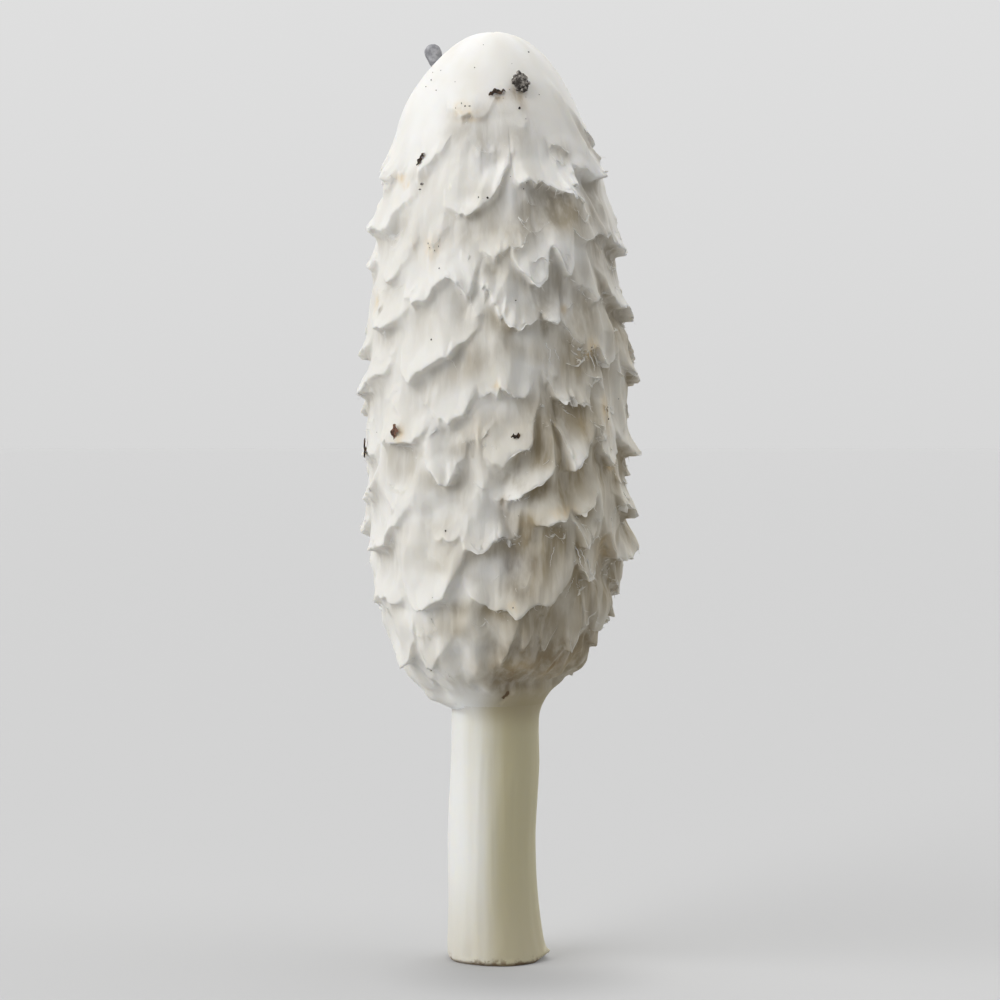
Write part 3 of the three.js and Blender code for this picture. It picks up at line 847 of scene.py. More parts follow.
# Stains where litter and soil have wetted the skin: (angle, height, half width, half height, strength) in mm.
OCHRE_STAINS = (
    (-18, 162.6, 2.4, 0.7, 0.5), (-14, 161.2, 2.6, 0.5, 0.5), (-20, 164.0, 1.7, 1.0, 0.45),
    (-14, 161.4, 2.0, 0.5, 0.45), (4, 165.4, 1.6, 0.9, 0.5), (15, 165.6, 1.4, 1.8, 0.5),
    (-54, 150.6, 1.8, 1.1, 0.6), (-50, 149.2, 1.2, 0.7, 0.6), (-34, 137.2, 3.2, 2.4, 0.4),
    (-66, 127, 2.0, 2.2, 0.55), (45, 118.6, 1.5, 2.0, 0.8), (54, 106.5, 1.8, 3.2, 0.75),
    (-44.5, 102.8, 1.6, 1.6, 0.6), (-1, 111.5, 0.8, 0.6, 0.9), (28, 88.2, 3.0, 1.0, 0.6),
    (8, 71, 0.9, 0.6, 0.9), (58, 96.5, 1.0, 1.4, 0.6), (-6, 104, 3, 3, 0.3), (60, 80, 3.0, 4.0, 0.4),
    (40, 104, 2.0, 3.0, 0.35), (20, 58, 6.0, 3.0, 0.5), (45, 57, 7, 3.5, 0.45),
)
# Patches of painted shade, in a grey-brown flesh colour, where the skin lies in shade below the scales' lips.
PAINTED_SHADE_PATCHES = (
    (27, 144.2, 5.5, 5.0, 0.75), (54, 141.5, 3.0, 9.0, 0.45), (36, 133.5, 3.5, 2.6, 0.55),
    (7, 138.5, 1.8, 3.5, 0.45), (6.5, 122.5, 6.0, 2.4, 0.3), (34, 121.5, 5.0, 5.0, 0.6),
    (-27, 130.2, 4.5, 2.2, 0.4), (41, 104, 3.0, 8.0, 0.45), (26, 89.5, 3.5, 2.5, 0.35),
    (17, 86.5, 3.5, 3.5, 0.5), (9, 79.2, 8.5, 4.2, 0.5), (48, 70, 5.0, 10.0, 0.5),
    (32, 62.5, 7.5, 5.0, 0.55), (-13, 143.4, 2.6, 1.2, 0.5), (43, 155.6, 1.8, 2.0, 0.5),
    (-40, 150, 1.0, 1.8, 0.6), (3, 146.5, 1.2, 3.2, 0.4), (-40, 98.6, 4.0, 1.2, 0.35),
    (12, 98, 3.0, 4.0, 0.35), (19, 77, 4.5, 6.5, 1.0), (19.5, 100.5, 3.5, 6.5, 0.9),
    (-13, 99.5, 4.0, 2.4, 0.6), (13, 83, 2.8, 3.0, 1.0), (17, 92.5, 3.0, 3.0, 0.8),
    (46, 105, 2.6, 3.0, 0.5), (22, 66, 4.0, 3.0, 0.6), (10, 58.5, 3.0, 4.0, 0.7),
    (-43, 95.5, 4.0, 3.0, 0.5), (20, 107.5, 3.5, 2.6, 0.6), (-11, 115.5, 4.5, 2.4, 0.6),
    (36, 115.5, 3.6, 3.0, 0.8), (8, 56, 4.0, 6.0, 0.8), (34, 66, 4.0, 3.0, 0.7),
    (-19, 65.5, 3.0, 2.0, 0.4), (2, 61.5, 3.0, 2.4, 0.5), (-10, 162.2, 3.0, 1.2, 0.4),
    (-20, 158.5, 3.0, 1.4, 0.4), (2, 155.3, 2.4, 1.6, 0.45), (-9, 147.3, 3.0, 1.2, 0.4),
    (-6, 132, 5.0, 1.5, 0.4), (16, 139.4, 4.0, 2.2, 0.8), (-18, 139, 3.0, 2.0, 0.35),
    (-46, 151, 1.4, 1.4, 0.5), (140, 128, 5.0, 4.0, 0.5), (170, 102, 6.0, 5.0, 0.5),
    (-150, 118, 5.0, 4.0, 0.45), (120, 88, 5.0, 6.0, 0.6), (-4, 162.8, 4.5, 1.4, 0.5),
    (19, 116, 3.0, 2.0, 0.5), (22, 112.5, 4.0, 2.4, 0.6), (19, 97, 3.5, 2.4, 0.7), (19, 79, 6.5, 8.0, 0.8),
    (12, 139.7, 6.0, 2.0, 0.6), (2, 157.5, 5.0, 2.6, 0.5), (15, 93, 4.0, 2.0, 0.6),
    (-22, 85.5, 5.0, 1.8, 0.6), (14, 85.5, 5.0, 2.4, 0.9), (15, 81.5, 5.0, 2.4, 0.8),
    (15, 77.5, 5.0, 2.4, 0.6), (-26, 77.4, 4.0, 1.6, 0.4), (25, 73.5, 9.0, 2.4, 0.6),
    (2, 69.6, 4.0, 1.8, 0.6), (40, 66, 6.0, 2.4, 0.6), (6, 62, 6.0, 2.2, 0.9), (-17, 89, 1.8, 2.0, 0.6),
    (-18, 69.6, 3.0, 1.6, 0.6), (-120, 90, 5.0, 4.0, 0.4), (150, 68, 9.0, 7.0, 0.5),
    (100, 62, 8.0, 6.0, 0.55), (-160, 145, 4.0, 3.0, 0.4),
)
# Patches of painted light: there the painted shade is taken off, and the skin shows whiter where lips catch
# the light.
PAINTED_LIGHT_PATCHES = (
    (31, 136, 3.0, 2.2, 0.8), (10, 128.5, 4.0, 2.0, 0.5), (10, 113.5, 4.0, 3.0, 0.6),
    (-4, 85.5, 5.0, 2.4, 0.8), (3, 89, 4.0, 2.0, 0.6), (-36, 69.8, 3.0, 2.0, 0.9),
    (38, 148.6, 2.5, 1.6, 0.6), (16, 133, 3.0, 1.6, 0.5), (31, 151, 3.0, 2.4, 0.6),
    (55, 151, 4.0, 4.0, 0.7), (16, 147.5, 4.0, 2.0, 0.6), (-24, 131, 5.0, 3.0, 0.7),
    (11, 120.5, 3.0, 1.6, 0.7), (-27, 116.3, 4.0, 2.0, 0.7), (-4, 108.5, 5.0, 2.0, 0.8),
    (-28, 104.5, 3.2, 1.6, 0.6), (-29, 101, 3.0, 1.6, 0.7), (-26, 97, 3.2, 1.6, 0.8),
    (-33, 89, 6.0, 2.4, 0.7), (3, 89.3, 6.0, 2.2, 0.9), (-1, 77.4, 4.0, 1.8, 0.8),
    (-19, 73.5, 4.0, 1.8, 0.9), (-15, 62, 6.0, 2.0, 0.8), (-40, 58, 6.0, 2.0, 0.7),
    (-24, 52.5, 5.0, 2.0, 0.6), (27, 86, 3.5, 1.4, 0.8), (14, 95, 5.0, 1.6, 0.5), (33, 99, 3.0, 2.0, 0.5),
)
# Where soil lay or the flesh has rotted, it is brown. The broad, faint brown patches on the front and right,
# those about the join under the cap and the thin line along the left crease are painted shade.
BROWN_STAINS_AND_SHADE = (
    (-16, 161.8, 2.0, 0.4, 0.35), (14, 166.2, 1.2, 1.6, 0.5), (16.5, 163.8, 0.7, 1.0, 0.5),
    (3, 165.4, 1.4, 0.4, 0.6), (-20, 163.6, 1.0, 0.5, 0.25), (-59, 126.2, 0.5, 0.9, 0.6),
    (55, 106.5, 0.9, 2.6, 0.5), (-48.5, 101.8, 0.8, 1.4, 0.45), (45, 119.4, 0.5, 0.8, 0.4),
    (8, 52.8, 1.6, 1.6, 0.6), (5, 54.5, 1.6, 2.0, 0.35), (16, 56, 6, 4.5, 0.6), (34, 58, 8, 4, 0.55),
    (9, 53.2, 4, 2.5, 0.5), (0, 52.2, 3.2, 2.0, 0.35), (-40, 50.35, 4.5, 0.3, 0.6),
    (13, 77.4, 3.4, 2.6, 0.5), (14, 84.5, 3.4, 2.4, 0.42), (12, 73, 3.4, 2.2, 0.42),
    (6, 61.8, 4, 2.2, 0.45), (52, 62, 7, 6, 0.4), (20, 62, 4, 4, 0.45), (24, 93, 2.4, 3, 0.2),
    (24, 141, 4, 3, 0.18), (-22, 84.5, 0.8, 0.5, 0.3), (-33, 99.5, 1.5, 1.0, 0.2),
    (14, 100, 1.5, 3.0, 0.2), (5, 78, 1.6, 2.4, 0.22),
)


def patch_strength(patch_list):
    """How strongly a list of patches (stains, painted shade, painted light) covers each place on the cap."""
    field = np.zeros(cap_shape)
    for at_angle, at_height, half_width, half_height, strength in patch_list:
        across = wrapped(angles - at_angle) * math.pi / 180 * float(cap_radius(at_height))
        along = way - way_at(at_height)
        reach = ((along / half_height) ** 2)[:, None] + ((across / half_width) ** 2)[None]
        field = np.maximum(field, strength * np.exp(-0.7 * (reach * (1 + 0.35 * dents)).clip(0)))
    return field


# Painted shade: towards the right, away from the light, and low down on the right the skin is tinted darker
# and yellower, with some random tone of age in it; lifted lips and the painted light patches take it off.
SHADED_SIDE_ANGLE, LOW_SHADE_ANGLE = 65, 72
aged_and_shaded = np.clip(np.cos(np.radians(angles - SHADED_SIDE_ANGLE)) * 0.75 + 0.38, 0, 1)[None]
aged_and_shaded = aged_and_shaded * (0.3 + 0.7 * smooth_step((way - way_at(150)) / 75))[:, None]
low_down = smooth_step((way - way_at(66)) / 9)[:, None]
low_right_shade = low_down * smooth_step(0.1 + 0.9 * np.cos(np.radians(angles - LOW_SHADE_ANGLE)))[None]
painted_light = patch_strength(PAINTED_LIGHT_PATCHES)
aged_and_shaded = aged_and_shaded + 0.1 * lumps + 0.1 * dents + 0.5 * low_right_shade - 0.5 * smooth_step(lift / 2.2 - 0.4)
aged_and_shaded = np.clip(aged_and_shaded + 0.3 * patch_strength(PAINTED_SHADE_PATCHES) - painted_light, 0, 1)
# The hollow shade is painted shade: darker under the lips, low on the right and in the painted shade patches.
side_shades = {
    "hollow": np.clip(hollow / 0.95 - 0.2 * lift + 0.75 * low_right_shade + patch_strength(PAINTED_SHADE_PATCHES) - painted_light, 0, 1),
    "aged_and_shaded": aged_and_shaded,
    "ochre": patch_strength(OCHRE_STAINS),
    # the slit's brown is its painted shade
    "brown": np.maximum(patch_strength(BROWN_STAINS_AND_SHADE), 2.4 * in_slit**1.4),
}
shades = {shade: with_ends(field) for shade, field in side_shades.items()}
flowing = smooth_step((way - way_at(54.5)) / (WAY_LENGTH - 0.3 - way_at(54.5)))[:, None] * flow
side_shades["creamy"] = flowing**1.3
shades["creamy"] = with_ends(side_shades["creamy"], 1)
cap_grid = cap_points[: len(way) * cap_columns].reshape(len(way), cap_columns, 3)
cap_points = np.concatenate([cap_points, [crown_middle, socket_middle]])
cap = skin_object("cap_skin", cap_points, cap_faces, shades)
thinning = cap.modifiers.new("thinning", "DECIMATE")
full_count = 2 * (all_rows - 1) * cap_columns + 2 * cap_columns
thinning.ratio = min(1, CAP_TRIANGLES / full_count)
thinned = bpy.data.meshes.new_from_object(cap.evaluated_get(bpy.context.evaluated_depsgraph_get()))
cap.modifiers.clear()
cap.data = thinned
thinned.polygons.foreach_set("use_smooth", np.ones(len(thinned.polygons), bool))

FRESH_SKIN = linear(245, 244, 241)
CREAM_SKIN = linear(239, 236, 228)
GROWN_SKIN = linear(235, 233, 227)
AGED_AND_SHADED_SKIN = linear(224, 219, 206)
SHADED_BARE_FLESH = linear(188, 182, 170)
AGED_AND_SHADED_FLESH = linear(160, 147, 122)
OCHRE = linear(226, 200, 152)
BROWN = linear(104, 84, 60)
skin = Finish(bpy.data.materials.new("torn_cap_skin"))


def shade_of(name):
    """One of the shades that the skin carries at each of its points."""
    reader = skin.nodes.new("ShaderNodeAttribute")
    reader.attribute_name = name
    return reader.outputs["Fac"]


aged_and_shaded = shade_of("aged_and_shaded")
fine_threads = skin.noise(1300, 3, 0.6, (1, 1, 0.1))
mottle = skin.noise(420, 4, 0.6, (1, 1, 0.35))
clouds = skin.noise(90, 3, 0.5, (1, 1, 0.6))
skin.colour = skin.blended(skin.between(clouds, 0.45, 0.75), FRESH_SKIN, CREAM_SKIN)
# the crown is the whitest
skin.coat(skin.between(skin.z, 0.166, 0.118), GROWN_SKIN)
# painted shade: the side away from the light is darker and yellower
skin.coat(aged_and_shaded, AGED_AND_SHADED_SKIN)
# painted shade: the hollows under the lips are darkened to a streaked grey-brown flesh colour
shaded_bare_flesh = skin.blended(aged_and_shaded, SHADED_BARE_FLESH, AGED_AND_SHADED_FLESH)
patchy = skin.between(skin.noise(430, 3, 0.6, (1, 1, 0.16)), 0.34, 0.62, 0.5, 1)
skin.coat(skin.times(shade_of("hollow"), patchy), shaded_bare_flesh)
blotches = skin.between(mottle, 0.25, 0.7, 0.3, 1.1)
ochre_strength = skin.between(skin.times(shade_of("ochre"), blotches), 0, 1)
brown_stain_and_shade = skin.between(skin.times(shade_of("brown"), blotches), 0, 1)
skin.coat(ochre_strength, OCHRE)
skin.coat(brown_stain_and_shade, BROWN)
# down the margin the skin takes on the stem's own cream, with the stem's painted shade: creamier towards the
# shaded right and browner under the cap's right side
stem_colour = skin.blended(skin.between(skin.x, *CREAM_SHADE_SPAN), FRESH_STEM, CREAM_STEM)
stem_colour = skin.blended(skin.between(skin.x, *TURNS_BROWN_AND_SHADE, 0, 0.75), stem_colour, MARGIN_BROWN_AND_SHADE)
skin.coat(shade_of("creamy"), stem_colour)
# the strongest brown, real stains and the slit's painted shade, is laid again over the margin's cream
skin.coat(skin.between(brown_stain_and_shade, 0.6, 0.95), BROWN)
skin.set_shader({
    "Base Color": skin.colour,
    "Roughness": 0.68,
    "Specular IOR Level": 0.35,
    "Subsurface Weight": 0.3,
    "Subsurface Radius": (1.0, 0.85, 0.6),
    "Subsurface Scale": 1.2 * MM,
})
skin.relief([(fine_threads, 0.00006)])
cap.data.materials.clear()
cap.data.materials.append(skin.owner)
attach(cap, "root")
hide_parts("cap")


# ---- The torn lips ---------------------------------------------------------------------------------------
# Along its torn edge each scale thins out to a ragged lip of white skin. As it dries the lip curls away from
# the cap, more on the side that dried first.
LIP_ROOT = 0.4
LIP_THICKNESS = 0.24
LIP_STEPS = 6
BRINK_BACK, TREND_BACK = 0.35, 0.95
HIDDEN_UNDER = 0.45
COARSE_TEETH, FINE_TEETH = 0.35, 0.3
LEAST_LENGTH, FRAYED_LENGTH, HIDDEN_LENGTH = 0.12, 0.25, 0.05
LENGTH_FRESH, LENGTH_ADDED = 0.55, 0.55
# in radians, and its unevenness from place to place
CURL_FRESH, CURL_ADDED, CURL_UNEVENNESS = 0.35, 0.75, 0.7
LIP_TAPER, HIDDEN_TAPER = 0.7, 0.6
outward = np.stack([np.sin(turn[0]), -np.cos(turn[0]), np.full(cap_columns, 0.1)], -1)


def on_cap(rows, columns, field):
    """A field of the cap's grid read between its rows."""
    low_row = np.clip(np.floor(rows).astype(int), 0, len(way) - 2)
    part = np.clip(rows - low_row, 0, 1).reshape(-1, *[1] * (field.ndim - 2))
    return field[low_row, columns] * (1 - part) + field[low_row + 1, columns] * part


def lip_rings(columns, rows, edge_lift, frays, line, spacing):
    """Points of one scale's torn lip, ring after ring along its edge, or None where nothing of it shows."""
    hidden = lift[rows, columns] > edge_lift + HIDDEN_UNDER
    smooth_rows = np.convolve(np.pad(rows, 4, mode="edge"), np.ones(9) / 9, "valid")
    kept = np.arange(0, len(columns), spacing)
    columns, smooth_rows, frays, hidden = columns[kept], smooth_rows[kept], frays[kept], hidden[kept]
    if len(columns) < 6:
        return None
    brink = on_cap(smooth_rows - BRINK_BACK / GRID_STEP, columns, cap_grid)
    along = brink - on_cap(smooth_rows - TREND_BACK / GRID_STEP, columns, cap_grid)
    along = along / np.linalg.norm(along, axis=1, keepdims=True)
    root = brink - LIP_ROOT * along
    away = outward[columns]
    away = away - along * np.sum(away * along, 1, keepdims=True)
    away /= np.linalg.norm(away, axis=1, keepdims=True)
    dryness = dry_side[columns]
    teeth = COARSE_TEETH * np.clip(coarse_fray[(line + 7) % FRAY_LINES, columns], 0, 2) ** 1.5
    teeth += FINE_TEETH * np.clip(fine_fray[(line + 3) % FRAY_LINES, columns], 0, 2) ** 1.5
    from_end = np.minimum(np.arange(len(columns)), np.arange(len(columns))[::-1])
    ends = smooth_step(from_end / (len(columns) * 0.18))
    length = (LEAST_LENGTH + frays * (FRAYED_LENGTH + teeth)) * (LENGTH_FRESH + LENGTH_ADDED * dryness) * ends
    length = np.where(hidden, HIDDEN_LENGTH, length)
    uneven = 1 + CURL_UNEVENNESS * coarse_fray[(line + 11) % FRAY_LINES, columns]
    curl = (CURL_FRESH + CURL_ADDED * dryness) * uneven
    share = np.linspace(0, 1, LIP_STEPS)
    points = np.empty((len(columns), 2 * LIP_STEPS, 3))
    total = LIP_ROOT + length
    place = root - (0.5 * LIP_THICKNESS + 0.03) * away
    bend = np.zeros(len(columns))
    for step in range(LIP_STEPS):
        past = np.clip(share[step] * total - LIP_ROOT, 0, None) / np.maximum(length, 0.05)
        bend = curl * past
        facing = away * np.cos(bend)[:, None] - along * np.sin(bend)[:, None]
        thickness = LIP_THICKNESS * (1 - LIP_TAPER * past) * (1 - HIDDEN_TAPER * hidden)
        points[:, step] = place + facing * 0.5 * thickness[:, None]
        points[:, 2 * LIP_STEPS - 1 - step] = place - facing * 0.5 * thickness[:, None]
        heading = along * np.cos(bend)[:, None] + away * np.sin(bend)[:, None]
        place = place + heading * (total / (LIP_STEPS - 1))[:, None]
    return points, columns, smooth_rows


def lip_object(name, edges, spacing):
    """One piece of all the torn lips of some scales."""
    all_points, faces, reads, start = [], [], [], 0
    for edge in edges:
        made = lip_rings(*edge, spacing)
        if made is None:
            continue
        points, columns, rows = made
        rings, around = points.shape[:2]
        here = start + (np.arange(rings - 1)[:, None] * around + np.arange(around)[None])
        beside = start + (np.arange(rings - 1)[:, None] * around + (np.arange(around)[None] + 1) % around)
        faces.append(np.stack([here, beside, beside + around, here + around], -1).reshape(-1, 4))
        flat = np.arange(LIP_STEPS - 1)
        first_end = start + np.stack([flat, around - 1 - flat, around - 2 - flat, flat + 1], -1)
        last_start = start + (rings - 1) * around
        last_end = last_start + np.stack([flat, flat + 1, around - 2 - flat, around - 1 - flat], -1)
        faces += [first_end, last_end]
        all_points.append(points.reshape(-1, 3))
        reads.append((np.repeat(rows, around), np.repeat(columns, around)))
        start += rings * around
    rows = np.concatenate([read[0] for read in reads])
    columns = np.concatenate([read[1] for read in reads])
    read_shades = {shade: on_cap(rows, columns, field) for shade, field in side_shades.items()}
    read_shades["hollow"] = read_shades["hollow"] * 0
    return skin_object(name, np.concatenate(all_points), faces, read_shades)


def faces_front(edge):
    """Whether a torn edge lies on the front half."""
    return abs(angles[edge[0][len(edge[0]) // 2]]) < 104


front_edges = [edge for edge in torn_edges if faces_front(edge)]
back_edges = [edge for edge in torn_edges if not faces_front(edge)]
LIP_PIECES = (
    ("torn_lips_front", front_edges, 1),
    ("torn_lips_back", back_edges, 2),
    ("torn_lips_small", fleck_edges, 2),
)
for name, edges, spacing in LIP_PIECES:
    lips = lip_object(name, edges, spacing)
    lips.data.materials.append(skin.owner)
    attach(lips, "root")


# ---- The loose threads -----------------------------------------------------------------------------------
# Where the skin has torn, single fibres of it stand out from the lips as fine hairs, and a few longer
# threads and ribbons hang loose over the hollows. They are the same dried skin.
THREAD_SIDES = 5
HAIRS_PER_MM = 1.0
HAIR_STEPS = 6
thread_luck = np.random.default_rng(61)


def on_skin(angle, height, out=0.0):
    """A point out mm off the cap's skin at an angle and height."""
    row = int(np.clip(way_at(height) / GRID_STEP, 0, len(way) - 1))
    column = round((angle + 180) / 360 * cap_columns) % cap_columns
    return cap_grid[row, column] + out * outward[column]


def thread_rings(paths, widths):
    """Rings of points round each of many equally long paths, and the faces that close them into threads."""
    count, steps = paths.shape[:2]
    heading = np.gradient(paths, axis=1)
    heading /= np.linalg.norm(heading, axis=2, keepdims=True) + 1e-9
    side = np.cross(heading, np.array([0.31, -0.52, 0.8]))
    side /= np.linalg.norm(side, axis=2, keepdims=True) + 1e-9
    other = np.cross(heading, side)
    spin = np.arange(THREAD_SIDES) * 2 * math.pi / THREAD_SIDES
    ring = np.cos(spin)[:, None] * side[:, :, None] + np.sin(spin)[:, None] * other[:, :, None]
    points = paths[:, :, None] + ring * widths[:, :, None, None]
    starts = (np.arange(count)[:, None] * steps + np.arange(steps - 1)[None]).ravel()[:, None] * THREAD_SIDES
    here = starts + np.arange(THREAD_SIDES)
    beside = starts + (np.arange(THREAD_SIDES) + 1) % THREAD_SIDES
    sides = np.stack([here, beside, beside + THREAD_SIDES, here + THREAD_SIDES], -1).reshape(-1, 4)
    first = np.arange(count)[:, None] * steps * THREAD_SIDES
    start_caps = first + np.arange(THREAD_SIDES)[::-1]
    end_caps = first + (steps - 1) * THREAD_SIDES + np.arange(THREAD_SIDES)
    return points.reshape(-1, 3), [sides, start_caps, end_caps]


def fringe(edges, hairs_per_mm):
    """Paths and widths of short hairs along the frayed parts of some torn edges."""
    paths, widths = [], []
    for columns, rows, edge_lift, frays, _ in edges:
        hidden = lift[rows, columns] > edge_lift + HIDDEN_UNDER
        chance = np.clip(frays - 0.25, 0, 1) * hairs_per_mm * GRID_STEP * ~hidden
        for at in np.flatnonzero(thread_luck.random(len(columns)) < chance):
            column = columns[at]
            root = on_cap(np.array([rows[at] - 0.5 / GRID_STEP]), np.array([column]), cap_grid)[0]
            brink = on_cap(np.array([rows[at] - 0.1 / GRID_STEP]), np.array([column]), cap_grid)[0]
            heading = (brink - root) / np.linalg.norm(brink - root)
            sideways = np.cross(outward[column], heading)
            heading = heading + 0.5 * thread_luck.normal() * sideways
            heading = heading + 0.3 * outward[column] * thread_luck.random()
            bend = 0.35 * thread_luck.normal() * sideways + 0.22 * thread_luck.normal() * outward[column]
            bend[2] -= 0.06
            length = frays[at] * thread_luck.uniform(0.35, 1.7) + 0.3
            path = [brink - 0.15 * heading]
            for _ in range(HAIR_STEPS):
                heading = heading + bend
                heading = heading / np.linalg.norm(heading)
                path.append(path[-1] + heading * length / HAIR_STEPS)
            paths.append(path)
            widths.append(thread_luck.uniform(0.04, 0.08) * np.linspace(1, 0.25, HAIR_STEPS + 1))
    return np.array(paths), np.array(widths)


# The long ones, each as (width, stand-off, then its (angle, height) points from the root to the tip).
LONG_THREADS = (
    (0.12, 0.5, ((10.5, 142.8), (12, 141.7), (14, 141.6), (15.5, 142.7))),
    (0.09, 0.4, ((11, 142.4), (12.5, 140.8), (14.5, 140.2))),
    (0.10, 0.9, ((37, 140.8), (41, 138.7), (46, 138.4), (50.5, 140.4))),
    (0.07, 0.6, ((-12.5, 129.0), (-12, 126.8), (-10.5, 125.4))),
    (0.07, 0.5, ((-20.5, 117.2), (-19.5, 115.4), (-17.8, 114.0))),
    (0.07, 0.3, ((28.5, 125), (31, 122.8), (34, 120.6))),
    (0.11, 0.4, ((22, 119.4), (23.5, 117.6), (22.8, 116), (24.5, 115.2))),
    (0.09, 0.4, ((26, 118.8), (27, 117), (28.5, 116))),
    (0.13, 0.5, ((45, 117.4), (46, 115.8), (45.5, 114.2))),
    (0.07, 0.2, ((26.5, 81.4), (25, 79.4), (24.5, 77.6))),
    (0.12, 0.35, ((37, 81.4), (39, 80), (38, 78.8), (40, 77.6))),
    (0.12, 0.35, ((41, 80.6), (43, 79.4), (42, 78))),
    (0.10, 0.3, ((46, 79), (47.4, 77.6), (46.6, 76.4))),
    (0.07, 0.2, ((39, 75.6), (36.5, 73.6), (35, 71.4))),
    (0.07, 0.2, ((52, 67.4), (56, 66.4), (59, 65.8))),
    (0.07, 0.15, ((-34, 68), (-31, 66.6), (-28, 65))),
    (0.07, 0.15, ((-40, 66.6), (-37, 65), (-34, 63.6))),
    (0.07, 0.15, ((-44, 62.5), (-40, 60.6), (-37, 59))),
    (0.07, 0.15, ((-31, 59.4), (-28, 57.8), (-25.5, 56))),
    (0.07, 0.3, ((58, 87), (59, 85.2), (58.4, 83.4))),
)
LONG_STEPS = 15
long_paths, long_widths = [], []
for width, stand_off, line in LONG_THREADS:
    offs = [-0.1] + [stand_off] * (len(line) - 1)
    knots = np.array([on_skin(angle, height, off) for (angle, height), off in zip(line, offs)])
    path = spline_weights(np.linspace(0, len(knots) - 1, LONG_STEPS), len(knots), False) @ knots
    path += thread_luck.normal(size=path.shape) * 0.09
    path[0] = knots[0]
    path[-1] = knots[-1]
    long_paths.append(path)
    long_widths.append(width * np.linspace(1, 0.2, LONG_STEPS) ** 0.7)
hair_paths, hair_widths = fringe(torn_edges + fleck_edges, HAIRS_PER_MM)
hair_points, hair_faces = thread_rings(hair_paths, hair_widths)
long_points, long_faces = thread_rings(np.array(long_paths), np.array(long_widths))
thread_points = np.concatenate([hair_points, long_points])
thread_faces = hair_faces + [face + len(hair_points) for face in long_faces]
no_stain_or_shade = np.zeros(len(thread_points))
thread_shades = {shade: no_stain_or_shade for shade in side_shades}
threads_made = skin_object("torn_threads", thread_points, thread_faces, thread_shades)
threads_made.data.materials.append(skin.owner)
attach(threads_made, "root")


# ---- The crumb of soil -----------------------------------------------------------------------------------
# A crumb of dark, damp soil sits on the crown's front. It is a clump of small angular grains stuck together,
# pressed a little into the skin.
cap_surface = BVHTree.FromPolygons([vertex.co for vertex in cap.data.vertices],
                                   [tuple(face.vertices) for face in cap.data.polygons])


def seat_of(node):
    """Where on the cap's skin a node's own place lies, and which way is out of the skin there, in mm."""
    low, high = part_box(node)
    middle = (low + high) / 2
    place, _, _, _ = cap_surface.find_nearest(middle)
    from_axis = Vector((middle.x - lean(middle.z / MM) * MM, middle.y, 0)).normalized()
    slope = float(cap_radius(middle.z / MM - 1) - cap_radius(middle.z / MM + 1)) / 2
    return np.array(place) / MM, np.array(from_axis + Vector((0, 0, slope)))


def lump(middle, half_sizes, seed, detail, roughness, grain_size):
    """Points and faces of one closed, rough lump."""
    ball = bmesh.new()
    bmesh.ops.create_icosphere(ball, subdivisions=detail, radius=1)
    ways = np.array([vertex.co for vertex in ball.verts])
    faces = np.array([[vertex.index for vertex in face.verts] for face in ball.faces])
    ball.free()
    shift = np.random.default_rng(seed).uniform(-50, 50, 3)
    reach = np.ones(len(ways))
    for index, way_out in enumerate(ways * half_sizes):
        chips = noise_tools.voronoi(Vector(way_out / grain_size + shift))[0][0]
        clods = noise_tools.fractal(Vector(way_out / (2.2 * grain_size) + shift), 0.8, 2.1, 3)
        reach[index] += roughness * (1.1 * clods + 0.9 * (0.45 - chips))
    return middle + ways * half_sizes * reach[:, None], faces


def turned_to(normal, roll=0.0):
    """Axes across, up the skin and out of it at a place whose outward way is normal, as rows."""
    out = normal / np.linalg.norm(normal)
    across = np.cross([0, 0, 1], out)
    across /= np.linalg.norm(across)
    up_skin = np.cross(out, across)
    turned, raised = math.cos(math.radians(roll)), math.sin(math.radians(roll))
    return np.stack([turned * across + raised * up_skin, turned * up_skin - raised * across, out])


def joined_lumps(name, lumps):
    """One object of several lumps."""
    points, faces, start = [], [], 0
    for lump_points, lump_faces in lumps:
        points.append(lump_points)
        faces.append(lump_faces + start)
        start += len(lump_points)
    return skin_object(name, np.concatenate(points), faces, {})


def speckled(name, dark, light, scale, roughness, depth):
    """A dull finish mottled from a dark colour to a light one, with small pits."""
    finish = Finish(bpy.data.materials.new(name))
    blots = finish.between(finish.noise(scale, 4, 0.65), 0.38, 0.68)
    colour = finish.blended(blots, dark, light)
    finish.set_shader({"Base Color": colour, "Roughness": roughness, "Specular IOR Level": 0.35})
    finish.relief([(finish.noise(2.2 * scale, 3, 0.6), depth)])
    return finish.owner


soil_finish = speckled("damp_soil", linear(60, 56, 52), linear(190, 184, 176), 1100, 0.85, 0.0001)
seat, out = seat_of("soil_crumb")
axes = turned_to(out)
soil_luck = np.random.default_rng(71)
SOIL_WIDTH, SOIL_HEIGHT, SOIL_DEPTH = 3.7, 4.8, 2.6
SOIL_GRAINS = 26
core = np.array([0.38 * SOIL_WIDTH, 0.38 * SOIL_HEIGHT, 0.4 * SOIL_DEPTH])
clods = [lump(np.zeros(3), core, 3, 4, 0.3, 0.6)]
for index in range(SOIL_GRAINS):
    turn_on = index * 2.4
    reach_out = soil_luck.uniform(0.5, 1.0)
    middle = np.array([
        0.42 * SOIL_WIDTH * reach_out * math.cos(turn_on),
        0.42 * SOIL_HEIGHT * reach_out * math.sin(turn_on),
        0.42 * SOIL_DEPTH * soil_luck.uniform(-0.4, 1.0) * math.sqrt(1.3 - reach_out),
    ])
    size = soil_luck.uniform(0.22, 0.62)
    clods.append(lump(middle, size * soil_luck.uniform(0.7, 1.2, 3), 100 + index, 2, 0.4, 0.5))
clods = [(seat + 0.3 * SOIL_DEPTH * axes[2] + points @ axes, faces) for points, faces in clods]
